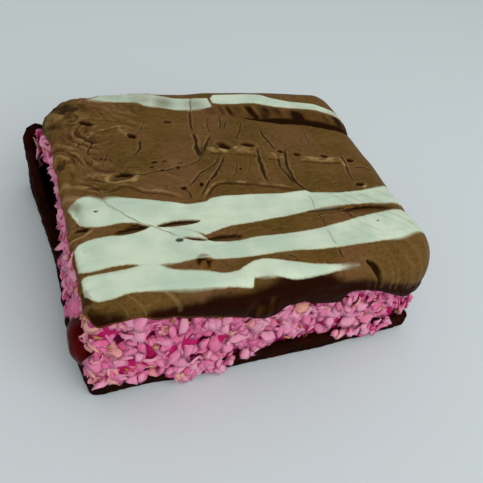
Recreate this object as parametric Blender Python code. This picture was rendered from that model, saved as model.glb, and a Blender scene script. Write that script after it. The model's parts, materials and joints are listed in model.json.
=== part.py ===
"""A cut piece of cherry coconut slice: a dark chocolate base, a pink coconut filling with
a glace cherry at the cut, a milk chocolate topping and white chocolate stripes set in it.

Sizes are in millimetres, in slice coordinates: x runs along the front cut from the front
left corner of the base, y runs to the back, and z is the height above the plate. Meshes
are written in metres with the origin under the middle of the slice.
"""

import math

import bmesh
import bpy
import numpy as np

MM = 0.001
ORIGIN = np.array([31.46, 28.94, 0.0])  # slice coordinates of the middle of the whole box

# Heights
HEIGHT = 25.8
BASE_THICKNESS = 4.2
BASE_EDGE = 0.7
TOPPING_THICKNESS = 4.9
LAYER_GAP = 0.3
UNDERSIDE_GAP = 0.5
# The topping's lower face is at the hem's height as far in as HEM_WIDTH, and then climbs
# or falls to the filling's flat top over HEM_RUN
HEM_WIDTH = 1.8
HEM_RUN = 2.4
HEM_ROUNDING = 0.4
SIDE_BULGE = 0.12
RIDGE_HEIGHT = 0.6
RIDGE_RUN = 2.2

# Stripes
STRIPE_DEPTH = 1.2
STRIPE_CROWN = 0.3
GROOVE_OPENING = 1.5

# Crags and flakes of the filling
CRAG_DEPTH = 0.85
FLAKE_LENGTH = (2.2, 3.4)
FLAKE_THICKNESS = 0.5
FLAKE_SPACING = 4.6
# Flakes that lean out over the front edge of the base, by their place along it
HANGING_FLAKES = (2.6, 5.2, 8.6, 11.6, 14.2, 16.4, 19.4, 22.2, 24.6)
HANGING_REACH = 0.9
HANGING_LEVEL = 4.7
HANGING_LENGTH = 4.4
HANGING_TILT = math.radians(27)
SEED = 7

# Cherry and the hollow over it
CHERRY_CENTRE = (0.5, 5.8, 9.8)
CHERRY_SIZE = (7.6, 9.0, 10.0)
HOLLOW_CENTRE = (0.6, 7.6, 15.6)
HOLLOW_SIZE = (4.6, 6.4, 3.6)

# Points around a layer: on a rounded edge, along the width and along the depth
TOPPING_LINES = (4, 19, 16)
FILLING_LINES = (2, 40, 34)
BASE_LINES = (2, 20, 18)
# How far in from the rim the rings lie where topping and filling meet
TOPPING_UNDER_RINGS = (0.45, 1.8, 3.0, 4.5)
FILLING_TOP_RINGS = (1.05, 2.3, 3.7)
MEAN_HALF_WIDTH = 30.0

# Each plan curve is a run of (distance along the side, place across it)
TOPPING_PLAN = {
    "left": [(0, -0.5), (20, -0.6), (40, -0.6), (50, -1.6), (60, -1.8)],
    "right": [(0, 69.2), (8, 68.5), (20, 67.7), (38, 67.4), (46, 68.0), (57, 67.6)],
    "front": [(0, -0.3), (15, -0.8), (30, -1.1), (45, -0.8), (68, -0.4)],
    "back": [(0, 59.4), (12, 60.0), (24, 59.4), (38, 58.5), (68, 56.6)],
}
# How far in from the side, and how far down, the top rounds over
TOPPING_RADIUS = {
    "left": [(0, 1.6), (35, 1.5), (46, 3.6), (58, 7.5)],
    "right": [(0, 8.5), (12, 8.0), (27, 6.0), (42, 5.0), (57, 5.5)],
    "front": [(0, 2.4), (22, 3.0), (34, 4.0), (48, 6.2), (58, 7.5), (69, 7.5)],
    "back": [(0, 7.5), (12, 6.0), (24, 4.8), (50, 4.8), (60, 5.0), (68, 5.5)],
}
TOPPING_DROP = {
    "left": [(0, 1.2), (35, 1.2), (43, 2.0), (50, 4.0), (58, 6.5)],
    "right": [(0, 10.0), (12, 8.5), (27, 6.0), (42, 5.0), (57, 5.0)],
    "front": [(0, 1.8), (4, 2.2), (22, 2.8), (34, 3.8), (46, 5.6), (52, 7.2), (58, 9.0), (68, 10.0)],
    "back": [(0, 6.5), (12, 4.6), (24, 3.2), (50, 3.4), (60, 4.6), (68, 5.0)],
}
# Height of the topping's lower edge, where it hangs over the filling
TOPPING_HEM = {
    "left": [(0, 22.8), (6, 23.2), (34, 23.2), (42, 21.6), (49, 19.6), (60, 17.0)],
    "right": [(0, 12.2), (10, 13.2), (24, 15.4), (38, 14.8), (50, 16.4), (57, 16.6)],
    "front": [
        (0, 22.8), (1.6, 21.7), (4, 22.1), (7, 22.7), (9.5, 21.9), (12, 21.3), (17, 19.8), (23, 18.4),
        (28, 16.8), (31, 16.9), (34, 18.8), (36.5, 18.8), (40, 17.5), (43.6, 16.8), (47, 18.4),
        (50, 18.0), (55, 16.2), (59, 14.2), (62.5, 12.9), (68, 12.2),
    ],
    "back": [(0, 17.0), (14, 17.8), (30, 17.0), (46, 17.8), (60, 16.4), (68, 16.6)],
}
FILLING_PLAN = {
    "left": [(0, -0.2), (20, -0.8), (40, -0.8), (47, -1.6), (54, -2.9), (58, -3.0)],
    "right": [(0, 66.6), (20, 66.4), (57, 66.3)],
    "front": [(0, -0.1), (15, -0.4), (25, -0.3), (31, 0.3), (45, 0.6), (68, 0.8)],
    "back": [(0, 57.4), (14, 58.0), (38, 57.0), (68, 55.4)],
}
FILLING_RADIUS = 1.4
BASE_PLAN = {
    "left": [(0, -0.2), (6, -1.4), (14, -2.3), (27, -2.5), (38, -3.3), (50, -4.8), (60, -5.9)],
    "right": [(0, 68.0), (30, 67.4), (57, 67.2)],
    "front": [(0, 0.1), (16, -0.3), (34, -0.7), (44, -0.6), (53, -0.6), (68, 0.2)],
    "back": [(0, 60.0), (20, 59.4), (45, 58.0), (68, 56.8)],
}
BASE_RADIUS = 1.0
# Top of the base's edge: it stands up round the back left corner
BASE_LIP = {
    "left": [(0, 4.2), (43, 4.2), (48, 6.0), (53, 12.0), (57, 14.8), (60, 15.6)],
    "right": [(0, 4.2), (57, 4.2)],
    "front": [(0, 4.2), (68, 4.2)],
    "back": [(-6, 15.6), (-4.4, 16.8), (-2.8, 17.2), (-0.6, 13.6), (3, 7.0), (7, 4.2), (68, 4.2)],
}
LIP_THICKNESS = 1.9
LIP_ROUNDING = 0.1

# Front edge and back edge of each stripe, as (x, y); the ridge has its own foot line
STRIPES = {
    "white_stripe_front": (
        [(0.5, 3.6), (2, 1.6), (9, 1.6), (17, 0.9), (23, 0.7), (27, 0.9), (34, 0.6), (40, 0.6), (46, 1.1)],
        [(0.5, 6.2), (3, 6.5), (9, 6.3), (14, 5.1), (20, 3.6), (24, 3.1), (29, 4.6), (36, 2.5), (46, 1.6)],
    ),
    "white_stripe_middle": (
        [(0.5, 8.4), (2, 7.3), (7, 7.4), (14, 6.6), (24, 5.8), (35, 5.3), (48, 4.7), (58, 4.8), (64, 6.4)],
        [(0.5, 12.4), (3, 13.8), (6, 14.2), (13, 14.2), (19, 12.9), (24, 10.6), (30, 9.6), (44, 9.8),
         (56, 11.6), (64, 11.0)],
    ),
    "white_stripe_rear": (
        [(0.6, 20.6), (2, 17.4), (5, 16.4), (12, 16.0), (18, 15.4), (23, 12.2), (32, 13.3), (44, 14.3),
         (56, 14.0), (64, 13.8)],
        [(0.6, 22.4), (4, 24.3), (8, 23.8), (14, 21.5), (22, 19.5), (28, 20.8), (44, 20.2), (54, 18.4),
         (64, 19.4)],
    ),
    "white_stripe_back_left": (
        [(8.5, 54.6), (12, 53.8), (18, 52.8), (24, 51.0), (30, 49.2), (34.6, 49.0)],
        [(8.5, 55.8), (13, 57.4), (20, 57.0), (25, 55.0), (30, 54.0), (34.6, 53.0)],
    ),
    "white_stripe_back_right": (
        [(35.4, 50.8), (44, 50.1), (48, 48.8), (54, 47.2), (60, 45.8), (64.5, 43.6)],
        [(35.4, 53.6), (42, 54.2), (48, 53.2), (54, 50.3), (60, 49.2), (64.5, 46.0)],
    ),
}
STRIPE_CELLS = (13, 3)
RIDGE_FOOT = [(28, 49.0), (34, 48.2), (45, 47.4), (54, 45.0), (60, 43.4), (68, 41.0)]
RIDGE_START = (29.0, 36.0)


def smooth(where, knots):
    """Cubic curve through the knots that never swings past them: the slope at a knot is
    the harmonic mean of the slopes on its two sides, or 0 where they turn."""
    at, value = np.array(knots, float).T
    secant = np.diff(value) / np.diff(at)
    turn = secant[:-1] * secant[1:]
    mean = 2 * turn / np.where(turn > 0, secant[:-1] + secant[1:], 1)
    slope = np.concatenate([secant[:1], np.where(turn > 0, mean, 0), secant[-1:]])
    where = np.clip(where, at[0], at[-1])
    i = np.clip(np.searchsorted(at, where, side="right") - 1, 0, len(at) - 2)
    gap = at[i + 1] - at[i]
    k = (where - at[i]) / gap
    rise = 3 * k**2 - 2 * k**3
    bend = slope[i] * (k**3 - 2 * k**2 + k) + slope[i + 1] * (k**3 - k**2)
    return value[i] * (1 - rise) + value[i + 1] * rise + gap * bend


def step(k):
    """0 below 0, 1 above 1, and a smooth rise between."""
    k = np.clip(k, 0, 1)
    return k * k * (3 - 2 * k)


def curve_or_number(curves, side, where):
    return smooth(where, curves[side]) if isinstance(curves, dict) else curves


def nearness(x, y, plan, radius):
    """How far into each side's rounding a place is: 1 on the side, 0 or less inside it."""
    return {
        "left": 1 - (x - smooth(y, plan["left"])) / curve_or_number(radius, "left", y),
        "right": 1 - (smooth(y, plan["right"]) - x) / curve_or_number(radius, "right", y),
        "front": 1 - (y - smooth(x, plan["front"])) / curve_or_number(radius, "front", x),
        "back": 1 - (smooth(x, plan["back"]) - y) / curve_or_number(radius, "back", x),
    }


def round_off(x, y):
    """The topping's drop below its flat top: a quarter ellipse over each edge, joined at
    the corners by the length of the two nearness values taken together."""
    near = nearness(x, y, TOPPING_PLAN, TOPPING_RADIUS)
    across = np.maximum(0, np.maximum(near["left"], near["right"]))
    along = np.maximum(0, np.maximum(near["front"], near["back"]))
    drop_across = np.where(
        near["left"] > near["right"],
        smooth(y, TOPPING_DROP["left"]),
        smooth(y, TOPPING_DROP["right"]),
    )
    drop_along = np.where(
        near["front"] > near["back"],
        smooth(x, TOPPING_DROP["front"]),
        smooth(x, TOPPING_DROP["back"]),
    )
    total = across**2 + along**2
    drop = (across**2 * drop_across + along**2 * drop_along) / np.maximum(total, 1e-9)
    return drop * (1 - np.sqrt(np.clip(1 - total, 0, 1)))


def ridge(x, y):
    """The raised band along the back right: it rises over RIDGE_RUN behind its foot line."""
    start = step((x - RIDGE_START[0]) / (RIDGE_START[1] - RIDGE_START[0]))
    return RIDGE_HEIGHT * start * step((y - smooth(x, RIDGE_FOOT)) / RIDGE_RUN)


def top_height(x, y):
    return HEIGHT + ridge(x, y) - round_off(x, y)


def side_value(x, y, curves):
    """The curve of whichever side is nearest to a place, such as the hem's height there."""
    near = nearness(x, y, TOPPING_PLAN, TOPPING_RADIUS)
    across = np.where(near["left"] > near["right"], smooth(y, curves["left"]), smooth(y, curves["right"]))
    along = np.where(near["front"] > near["back"], smooth(x, curves["front"]), smooth(x, curves["back"]))
    sideways = np.maximum(near["left"], near["right"]) > np.maximum(near["front"], near["back"])
    return np.where(sideways, across, along)


def lines(on_edge, on_flat):
    """Grid lines across one direction. Each has a signed nearness, -1 and 1 on the two
    sides, and a share of the flat middle; on an edge the lines turn by equal angles."""
    turn = np.sin(np.linspace(math.pi / 2, 0, on_edge + 1))
    flat = np.linspace(0, 1, on_flat + 1)
    near = np.concatenate([-turn[:-1], np.zeros(on_flat + 1), turn[::-1][1:]])
    share = np.concatenate([np.zeros(on_edge), flat, np.ones(on_edge)])
    return near, share


def plan_grid(plan, radius, counts):
    """Places of a grid that fills a plan with rounded corners. A square corner of the grid
    becomes a quarter disc by near_x * sqrt(1 - near_y^2 / 2), and the same the other way."""
    near_x, share_x = (a[None, :] for a in lines(counts[0], counts[1]))
    near_y, share_y = (a[:, None] for a in lines(counts[0], counts[2]))
    disc_x = near_x * np.sqrt(1 - near_y**2 / 2)
    disc_y = near_y * np.sqrt(1 - near_x**2 / 2)
    x = np.broadcast_to(20 + 30 * share_x, disc_x.shape)
    y = np.broadcast_to(20 + 20 * share_y, disc_y.shape)
    for _ in range(8):
        radius_l = curve_or_number(radius, "left", y)
        radius_r = curve_or_number(radius, "right", y)
        radius_f = curve_or_number(radius, "front", x)
        radius_b = curve_or_number(radius, "back", x)
        left = smooth(y, plan["left"]) + radius_l
        right = smooth(y, plan["right"]) - radius_r
        front = smooth(x, plan["front"]) + radius_f
        back = smooth(x, plan["back"]) - radius_b
        x, y = (
            left + (right - left) * share_x + disc_x * np.where(near_x < 0, radius_l, radius_r),
            front + (back - front) * share_y + disc_y * np.where(near_y < 0, radius_f, radius_b),
        )
    return x, y


def around(grid):
    """The border of a grid in order, counterclockwise from its front left corner."""
    return np.concatenate([grid[0, :-1], grid[:-1, -1], grid[-1, :0:-1], grid[:0:-1, 0]])


def rim(plan, radius, counts):
    x, y = plan_grid(plan, radius, counts)
    return around(x), around(y)


def ring(x, y, z):
    return np.stack([x, y, np.broadcast_to(z, x.shape)], axis=-1)


def grid_faces(rows, columns, first=0):
    """Quads of a grid whose normal is up when rows run along y and columns along x."""
    index = first + np.arange(rows * columns).reshape(rows, columns)
    corners = [index[:-1, :-1], index[:-1, 1:], index[1:, 1:], index[1:, :-1]]
    return np.stack(corners, axis=-1).reshape(-1, 4)


def band_faces(upper, lower):
    """Quads between two rings of point numbers, facing out when both are counterclockwise."""
    corners = [lower, np.roll(lower, -1), np.roll(upper, -1), upper]
    return np.stack(corners, axis=-1)


def fan_faces(ring_points, middle, facing_up):
    after = np.roll(ring_points, -1)
    pair = (ring_points, after) if facing_up else (after, ring_points)
    return np.stack([*pair, np.full_like(ring_points, middle)], axis=-1)


def paint(name, colour, roughness):
    material = bpy.data.materials.new(name)
    material.use_nodes = True
    shader = material.node_tree.nodes["Principled BSDF"]
    shader.inputs["Base Color"].default_value = (*colour, 1)
    shader.inputs["Roughness"].default_value = roughness
    shader.inputs["Metallic"].default_value = 0
    material.diffuse_color = (*colour, 1)
    return material


def solid(name, points, faces, material=None):
    """An object from points in slice millimetres."""
    mesh = bpy.data.meshes.new(name)
    placed = (np.asarray(points, float) - ORIGIN) * MM
    mesh.from_pydata(placed.tolist(), [], [f for part in faces for f in part.tolist()])
    mesh.update()
    if material:
        mesh.materials.append(material)
    made = bpy.data.objects.new(name, mesh)
    bpy.context.scene.collection.objects.link(made)
    return made


def stack(name, rings, material=None):
    """A closed solid from rings of equal length, lowest first, with a flat fan at each end."""
    count = len(rings[0])
    points = np.concatenate([*rings, [rings[0].mean(axis=0)], [rings[-1].mean(axis=0)]])
    numbers = np.arange(len(rings) * count).reshape(len(rings), count)
    faces = [band_faces(numbers[i + 1], numbers[i]) for i in range(len(rings) - 1)]
    faces.append(fan_faces(numbers[0], len(points) - 2, False))
    faces.append(fan_faces(numbers[-1], len(points) - 1, True))
    return solid(name, points, faces, material)


def helper_collection(name, objects):
    """Cutters and loose flakes wait in a collection that no render shows."""
    group = bpy.data.collections.new(name)
    for item in objects:
        bpy.context.scene.collection.objects.unlink(item)
        group.objects.link(item)
    return group


def combine(target, helpers, operation, solver="EXACT"):
    """One Boolean on a collection, applied, after which the helpers are removed."""
    group = helper_collection(target.name + "_helpers", helpers)
    boolean = target.modifiers.new(operation.title(), "BOOLEAN")
    boolean.operation = operation
    boolean.operand_type = "COLLECTION"
    boolean.collection = group
    boolean.solver = solver
    view = bpy.context.evaluated_depsgraph_get()
    made = bpy.data.meshes.new_from_object(target.evaluated_get(view))
    target.modifiers.clear()
    target.data = made
    for item in helpers:
        bpy.data.objects.remove(item, do_unlink=True)
    bpy.data.collections.remove(group)


def keep_largest_piece(target):
    """Loose scraps and sealed hollows are islands of their own: all but the largest go."""
    work = bmesh.new()
    work.from_mesh(target.data)
    waiting = set(work.verts)
    islands = []
    while waiting:
        island, edge_of_island = set(), [waiting.pop()]
        while edge_of_island:
            point = edge_of_island.pop()
            island.add(point)
            for edge in point.link_edges:
                other = edge.other_vert(point)
                if other in waiting:
                    waiting.discard(other)
                    edge_of_island.append(other)
        islands.append(island)
    islands.sort(key=len)
    for island in islands[:-1]:
        bmesh.ops.delete(work, geom=list(island), context="VERTS")
    work.to_mesh(target.data)
    work.free()


def shrink(x, y, inset):
    """A rim drawn in towards its own middle by about inset, which is taken as a share of
    half the slice's mean width."""
    middle_x, middle_y = x.mean(), y.mean()
    share = 1 - inset / MEAN_HALF_WIDTH
    return middle_x + share * (x - middle_x), middle_y + share * (y - middle_y)


def base_rings(grow):
    """A slab whose edge stands up into a lip at the back left corner, larger by grow on its
    sides and round the lip, and by half of that on its flat face."""
    x, y = rim(BASE_PLAN, BASE_RADIUS, BASE_LINES)
    near = nearness(x, y, BASE_PLAN, BASE_RADIUS)
    on_side = np.maximum(near["left"], near["right"]) > np.maximum(near["front"], near["back"])
    lip_side = np.where(near["left"] > near["right"], smooth(y, BASE_LIP["left"]), BASE_THICKNESS)
    lip_end = np.where(near["back"] > near["front"], smooth(x, BASE_LIP["back"]), BASE_THICKNESS)
    lip = np.where(on_side, lip_side, lip_end)
    floor = BASE_THICKNESS + grow / 2
    lip = np.where(lip > BASE_THICKNESS, lip + grow, floor)
    inner = LIP_THICKNESS + grow
    return [
        ring(*shrink(x, y, BASE_EDGE / 2 - grow), -grow),
        ring(*shrink(x, y, -grow), BASE_EDGE),
        ring(*shrink(x, y, -grow), lip - BASE_EDGE),
        ring(*shrink(x, y, BASE_EDGE - grow), lip),
        ring(*shrink(x, y, inner), lip - LIP_ROUNDING * (lip > floor)),
        ring(*shrink(x, y, inner + BASE_EDGE), floor),
    ]


def underside(x, y, inset, gap):
    """One ring of the face where topping and filling meet: at the hem's height outside and
    flat inside. The filling's ring lies lower by the gap; it climbs later, or falls sooner,
    by twice the gap."""
    x, y = shrink(x, y, inset)
    depth = 1 - np.max(list(nearness(x, y, TOPPING_PLAN, 1.0).values()), axis=0)
    hem = side_value(x, y, TOPPING_HEM)
    climb = HEIGHT - TOPPING_THICKNESS - hem
    share = step((depth - HEM_WIDTH - 2 * gap * np.sign(climb)) / HEM_RUN)
    return ring(x, y, hem + climb * share - gap)


def crag_noise(rings, columns, random):
    """Uneven outward pushes: each point has its own, and neighbours share a slower swell."""
    fine = random.uniform(-1, 1, (rings, columns))
    slow = random.uniform(-1, 1, (rings, columns))
    slow = (slow + np.roll(slow, 1, 1) + np.roll(slow, -1, 1)) / 2
    return 0.65 * fine + 0.35 * slow


def build_filling_core(material, random):
    """The filling without its loose flakes: craggy cut sides between two smooth faces."""
    x, y = rim(FILLING_PLAN, FILLING_RADIUS, FILLING_LINES)
    top = side_value(x, y, TOPPING_HEM) - UNDERSIDE_GAP
    bottom = BASE_THICKNESS + LAYER_GAP
    heights = np.linspace(0, 1, 7)
    push = crag_noise(len(heights), len(x), random)
    lift = random.uniform(-0.3, 0.3, push.shape)
    push[[0, -1]] *= 0.3
    lift[[0, -1]] = 0
    out_x = np.roll(y, -1) - np.roll(y, 1)
    out_y = np.roll(x, 1) - np.roll(x, -1)
    length = np.hypot(out_x, out_y)
    rings = []
    for share, out, up in zip(heights, push, lift):
        swell = CRAG_DEPTH * (out - 0.35)
        level = bottom + (top - bottom) * share + up
        rings.append(ring(x + swell * out_x / length, y + swell * out_y / length, level))
    for inset in FILLING_TOP_RINGS:
        rings.append(underside(x, y, inset, UNDERSIDE_GAP))
    return stack("coconut_filling", rings, material)


def flake(centre, out, tilt, spin, size, random):
    """A thin chip: a six-cornered rim of uneven radii between two low peaks."""
    angle = np.linspace(0, 2 * math.pi, 7)[:-1] + spin
    reach = size / 2 * random.uniform(0.75, 1.1, 6)
    sideways = np.array([-out[1], out[0], 0])
    normal = math.cos(tilt) * out + math.sin(tilt) * np.array([0, 0, 1.0])
    upward = np.cross(normal, sideways)
    rim_points = centre + reach[:, None] * (
        np.cos(angle)[:, None] * sideways + 0.8 * np.sin(angle)[:, None] * upward
    )
    rim_points += random.uniform(-0.12, 0.12, (6, 1)) * normal
    peaks = [centre + FLAKE_THICKNESS / 2 * normal, centre - FLAKE_THICKNESS / 2 * normal]
    return np.concatenate([rim_points, peaks])


def flake_object(points):
    rim_numbers = np.arange(6)
    faces = [fan_faces(rim_numbers, 6, True), fan_faces(rim_numbers, 7, False)]
    return solid("flake", points, faces)


def clear_of_layers(points):
    """A chip moved up or down until it stands clear of the base and of the hem."""
    bottom = BASE_THICKNESS + LAYER_GAP + 0.05
    top = side_value(points[:, 0], points[:, 1], TOPPING_HEM).min() - LAYER_GAP - 0.1
    lift = max(0.0, bottom - points[:, 2].min()) - max(0.0, points[:, 2].max() - top)
    return points + [0, 0, lift]


def near_cherry(points):
    for centre, size in ((CHERRY_CENTRE, CHERRY_SIZE), (HOLLOW_CENTRE, HOLLOW_SIZE)):
        scaled = (points - centre) / (np.array(size) / 2 + 2 * LAYER_GAP)
        if (np.linalg.norm(scaled, axis=1) < 1).any():
            return True
    return False


def build_flakes(random):
    """Chips spread over the cut sides, one to each cell of an uneven net, and a row that
    hangs over the front edge of the base at the left."""
    x, y = rim(FILLING_PLAN, FILLING_RADIUS, FILLING_LINES)
    middle = np.array([x.mean(), y.mean(), 0])
    step_out = np.hypot(np.roll(x, -1) - x, np.roll(y, -1) - y)
    run = np.concatenate([[0], np.cumsum(step_out)])
    chips = []
    rows = 3
    columns = int(run[-1] / FLAKE_SPACING)
    for row in range(rows):
        for column in range(columns):
            along = (column + random.uniform(0.1, 0.9) + 0.5 * (row % 2)) * run[-1] / columns
            place = np.interp(along % run[-1], run, np.arange(len(run)))
            i, part = int(place) % len(x), place % 1
            k = (i + 1) % len(x)
            px, py = x[i] + part * (x[k] - x[i]), y[i] + part * (y[k] - y[i])
            out = np.array([y[k] - y[i], x[i] - x[k], 0])
            out /= np.linalg.norm(out)
            hem = float(side_value(px, py, TOPPING_HEM))
            share = (row + random.uniform(0.2, 0.8)) / rows
            level = BASE_THICKNESS + share * (hem - BASE_THICKNESS)
            centre = np.array([px, py, level]) + out * random.uniform(-0.5, -0.05)
            tilt = math.radians(random.uniform(-55, 55))
            size = random.uniform(*FLAKE_LENGTH)
            points = clear_of_layers(flake(centre, out, tilt, random.uniform(0, 1), size, random))
            if not near_cherry(points):
                chips.append(flake_object(points))
    front = np.array([0, -1.0, 0])
    for px in HANGING_FLAKES:
        py = float(smooth(px, BASE_PLAN["front"])) - HANGING_REACH
        centre = np.array([px, py, HANGING_LEVEL])
        chips.append(flake_object(flake(centre, front, HANGING_TILT, px, HANGING_LENGTH, random)))
    return chips


def blob(name, centre, size, lumps, counts, material=None):
    """An ellipsoid with gentle lumps: its radius varies as 1 + lumps * sin(3a + 1) * cos(2b)."""
    around_count, up_count = counts
    a = np.linspace(0, 2 * math.pi, around_count + 1)[:-1]
    b = np.linspace(-math.pi / 2, math.pi / 2, up_count + 1)[1:-1]
    b_grid, a_grid = np.meshgrid(b, a, indexing="ij")
    r = 0.5 * (1 + lumps * np.sin(3 * a_grid + 1) * np.cos(2 * b_grid))
    unit = np.stack(
        [r * np.cos(b_grid) * np.cos(a_grid), r * np.cos(b_grid) * np.sin(a_grid), r * np.sin(b_grid)],
        axis=-1,
    )
    points = np.array(centre) + unit * np.array(size)
    return stack(name, list(points), material)


def build_cherry(material):
    return blob("glace_cherry", CHERRY_CENTRE, CHERRY_SIZE, 0.05, (16, 9), material)


def build_topping(material):
    """A rounded cover: a grid for its top, then its side down to the wavy hem, the hem's
    rounded lip, and the underside."""
    x, y = plan_grid(TOPPING_PLAN, TOPPING_RADIUS, TOPPING_LINES)
    rows, columns = x.shape
    top = np.stack([x, y, top_height(x, y)], axis=-1).reshape(-1, 3)
    numbers = around(np.arange(rows * columns).reshape(rows, columns))
    edge_x, edge_y = around(x), around(y)
    hem = side_value(edge_x, edge_y, TOPPING_HEM)
    shoulder = top[numbers][:, 2]
    rings = [
        ring(*shrink(edge_x, edge_y, -SIDE_BULGE), shoulder + 0.5 * (hem - shoulder)),
        ring(edge_x, edge_y, hem + HEM_ROUNDING),
        *(underside(edge_x, edge_y, inset, 0) for inset in TOPPING_UNDER_RINGS),
    ]
    count = len(numbers)
    faces = [grid_faces(rows, columns)]
    above = numbers
    for i in range(len(rings)):
        below = rows * columns + i * count + np.arange(count)
        faces.append(band_faces(above, below))
        above = below
    points = np.concatenate([top, *rings, [rings[-1].mean(axis=0)]])
    faces.append(fan_faces(above, len(points) - 1, False))
    return solid("chocolate_topping", points, faces, material)


def ribbon(name, edges, wider, deeper, higher, material=None):
    """A strip of the top between two edge lines: the upper face follows the topping's top
    with a crown across it, and the lower face lies STRIPE_DEPTH under it."""
    front, back = edges
    x = np.linspace(front[0][0] - wider, front[-1][0] + wider, STRIPE_CELLS[0] + 1)
    across = np.linspace(0, 1, STRIPE_CELLS[1] + 1)[:, None]
    low = smooth(x, front) - wider
    high = smooth(x, back) + wider
    y = low + (high - low) * across
    x = np.broadcast_to(x, y.shape)
    level = top_height(x, y)
    crown = STRIPE_CROWN * 4 * across * (1 - across)
    upper = np.stack([x, y, level + crown + higher], axis=-1)
    lower = np.stack([x, y, level - STRIPE_DEPTH - deeper], axis=-1)
    rows, columns = y.shape
    size = rows * columns
    border = around(np.arange(size).reshape(rows, columns))
    faces = [
        grid_faces(rows, columns),
        grid_faces(rows, columns, size)[:, ::-1],
        band_faces(border, border + size),
    ]
    points = np.concatenate([upper.reshape(-1, 3), lower.reshape(-1, 3)])
    return solid(name, points, faces, material)


def main():
    for old in list(bpy.data.objects):
        bpy.data.objects.remove(old, do_unlink=True)

    dark = paint("dark_chocolate", (0.030, 0.014, 0.008), 0.55)
    pink = paint("pink_desiccated_coconut", (0.72, 0.25, 0.42), 0.8)
    red = paint("glace_cherry_red", (0.23, 0.008, 0.012), 0.2)
    milk = paint("milk_chocolate", (0.115, 0.065, 0.028), 0.45)
    white = paint("white_chocolate", (0.62, 0.72, 0.56), 0.45)
    random = np.random.default_rng(SEED)

    stack("chocolate_base", base_rings(0), dark)

    filling = build_filling_core(pink, random)
    wider = 2 * LAYER_GAP
    pockets = [
        blob("cherry_pocket", CHERRY_CENTRE, np.array(CHERRY_SIZE) + wider, 0.05, (16, 9)),
        blob("hollow_pocket", HOLLOW_CENTRE, HOLLOW_SIZE, 0.1, (12, 7)),
    ]
    for pocket in pockets:
        combine(filling, [pocket], "DIFFERENCE")
    combine(filling, build_flakes(random), "UNION")
    combine(filling, [stack("base_clearance", base_rings(LAYER_GAP))], "DIFFERENCE")
    keep_largest_piece(filling)
    build_cherry(red)

    topping = build_topping(milk)
    grooves = [
        ribbon(name + "_groove", edges, LAYER_GAP, LAYER_GAP, GROOVE_OPENING)
        for name, edges in STRIPES.items()
    ]
    combine(topping, grooves, "DIFFERENCE")
    for name, edges in STRIPES.items():
        ribbon(name, edges, 0, 0, 0, white)


main()
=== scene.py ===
"""The looks of a cut piece of cherry coconut slice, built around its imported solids.

Sizes are in millimetres, in slice coordinates: x runs along the front cut from the front
left corner of the base, y runs to the back, and z is the height above the table. A mesh is
written in metres, with the origin under the middle of the slice, as the solids are.
"""

import json
import math

import bpy
import numpy as np
from mathutils import Euler, Matrix, Vector

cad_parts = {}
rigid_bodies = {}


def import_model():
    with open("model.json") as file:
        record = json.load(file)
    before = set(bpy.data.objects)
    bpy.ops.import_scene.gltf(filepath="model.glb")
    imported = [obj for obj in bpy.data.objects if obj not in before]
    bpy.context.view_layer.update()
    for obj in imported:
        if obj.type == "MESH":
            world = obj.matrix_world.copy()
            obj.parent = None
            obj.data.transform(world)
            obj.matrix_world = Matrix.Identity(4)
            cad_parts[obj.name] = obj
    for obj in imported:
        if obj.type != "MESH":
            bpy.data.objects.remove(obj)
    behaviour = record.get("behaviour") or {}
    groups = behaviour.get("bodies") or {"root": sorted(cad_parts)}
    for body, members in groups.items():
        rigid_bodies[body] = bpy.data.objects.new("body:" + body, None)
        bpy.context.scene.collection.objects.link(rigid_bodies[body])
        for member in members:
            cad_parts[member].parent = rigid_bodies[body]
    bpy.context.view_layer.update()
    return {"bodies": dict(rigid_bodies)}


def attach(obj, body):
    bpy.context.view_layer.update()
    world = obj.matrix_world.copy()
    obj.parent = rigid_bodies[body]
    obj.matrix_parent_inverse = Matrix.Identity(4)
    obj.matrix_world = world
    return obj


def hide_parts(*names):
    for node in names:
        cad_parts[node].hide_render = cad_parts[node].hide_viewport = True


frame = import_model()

bl_info = {
    "name": "Cherry Coconut Slice",
    "version": (1, 0, 0),
    "blender": (4, 5, 0),
    "location": "3D View > Sidebar > Slice",
    "description": "Makes the layers, flakes, stripes and finishes of a cut coconut slice",
    "category": "Object",
}

MM = 0.001
ORIGIN = np.array([31.46, 28.94, 0.0])
BODY = next(iter(frame["bodies"]))

# Heights of the layers
HEIGHT = 25.8
BASE_THICKNESS = 4.2
BASE_EDGE = 0.7
TOPPING_THICKNESS = 4.9
HEM_WIDTH = 1.8
HEM_RUN = 2.4
RIDGE_HEIGHT = 0.7
MEAN_HALF_WIDTH = 30.0
# Distances between the points of an outline, and counts of the rings up a side
SLAB_SPACING = 0.36
SLAB_RINGS = 20
PASTE_SPACING = 0.42
PASTE_RINGS = 34
FLAKE_SPACING = 0.5
# The cover's grid lines over its low edge, its flat and its high edge, and down its side
COVER_ACROSS = (12, 214, 38)
COVER_ALONG = (26, 176, 20)
COVER_BANDS = 24
GRID_ROUNDS = 8
# The cover's round hem: how far the side ends above it, then steps in and under from there
HEM_ROUND = 0.3
HEM_STEPS = ((0.0, 0.05), (0.22, 0.24), (0.6, 0.32), (1.3, 0.2))
# How far in from the outline the rings lie on the ledge, over the paste and under the cover
LEDGE_INSETS = (0.5, 0.9, 1.3, 1.7, 2.1, 2.6, 3.2, 3.9, 4.8)
PASTE_INSETS = (1.05, 2.3, 3.7, 5.5)
COVER_INSETS = (2.4, 3.4, 4.6)
# Counted as far away, and the half spans over which slopes are taken
FAR = 9.0
TOP_SPAN = 0.05
EDGE_SPAN = 0.3
STEEPEST = 2
# Each side: the axis across it, and which way along that axis is inward
SIDES = {"left": (0, 1), "right": (0, -1), "front": (1, 1), "back": (1, -1)}

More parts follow.
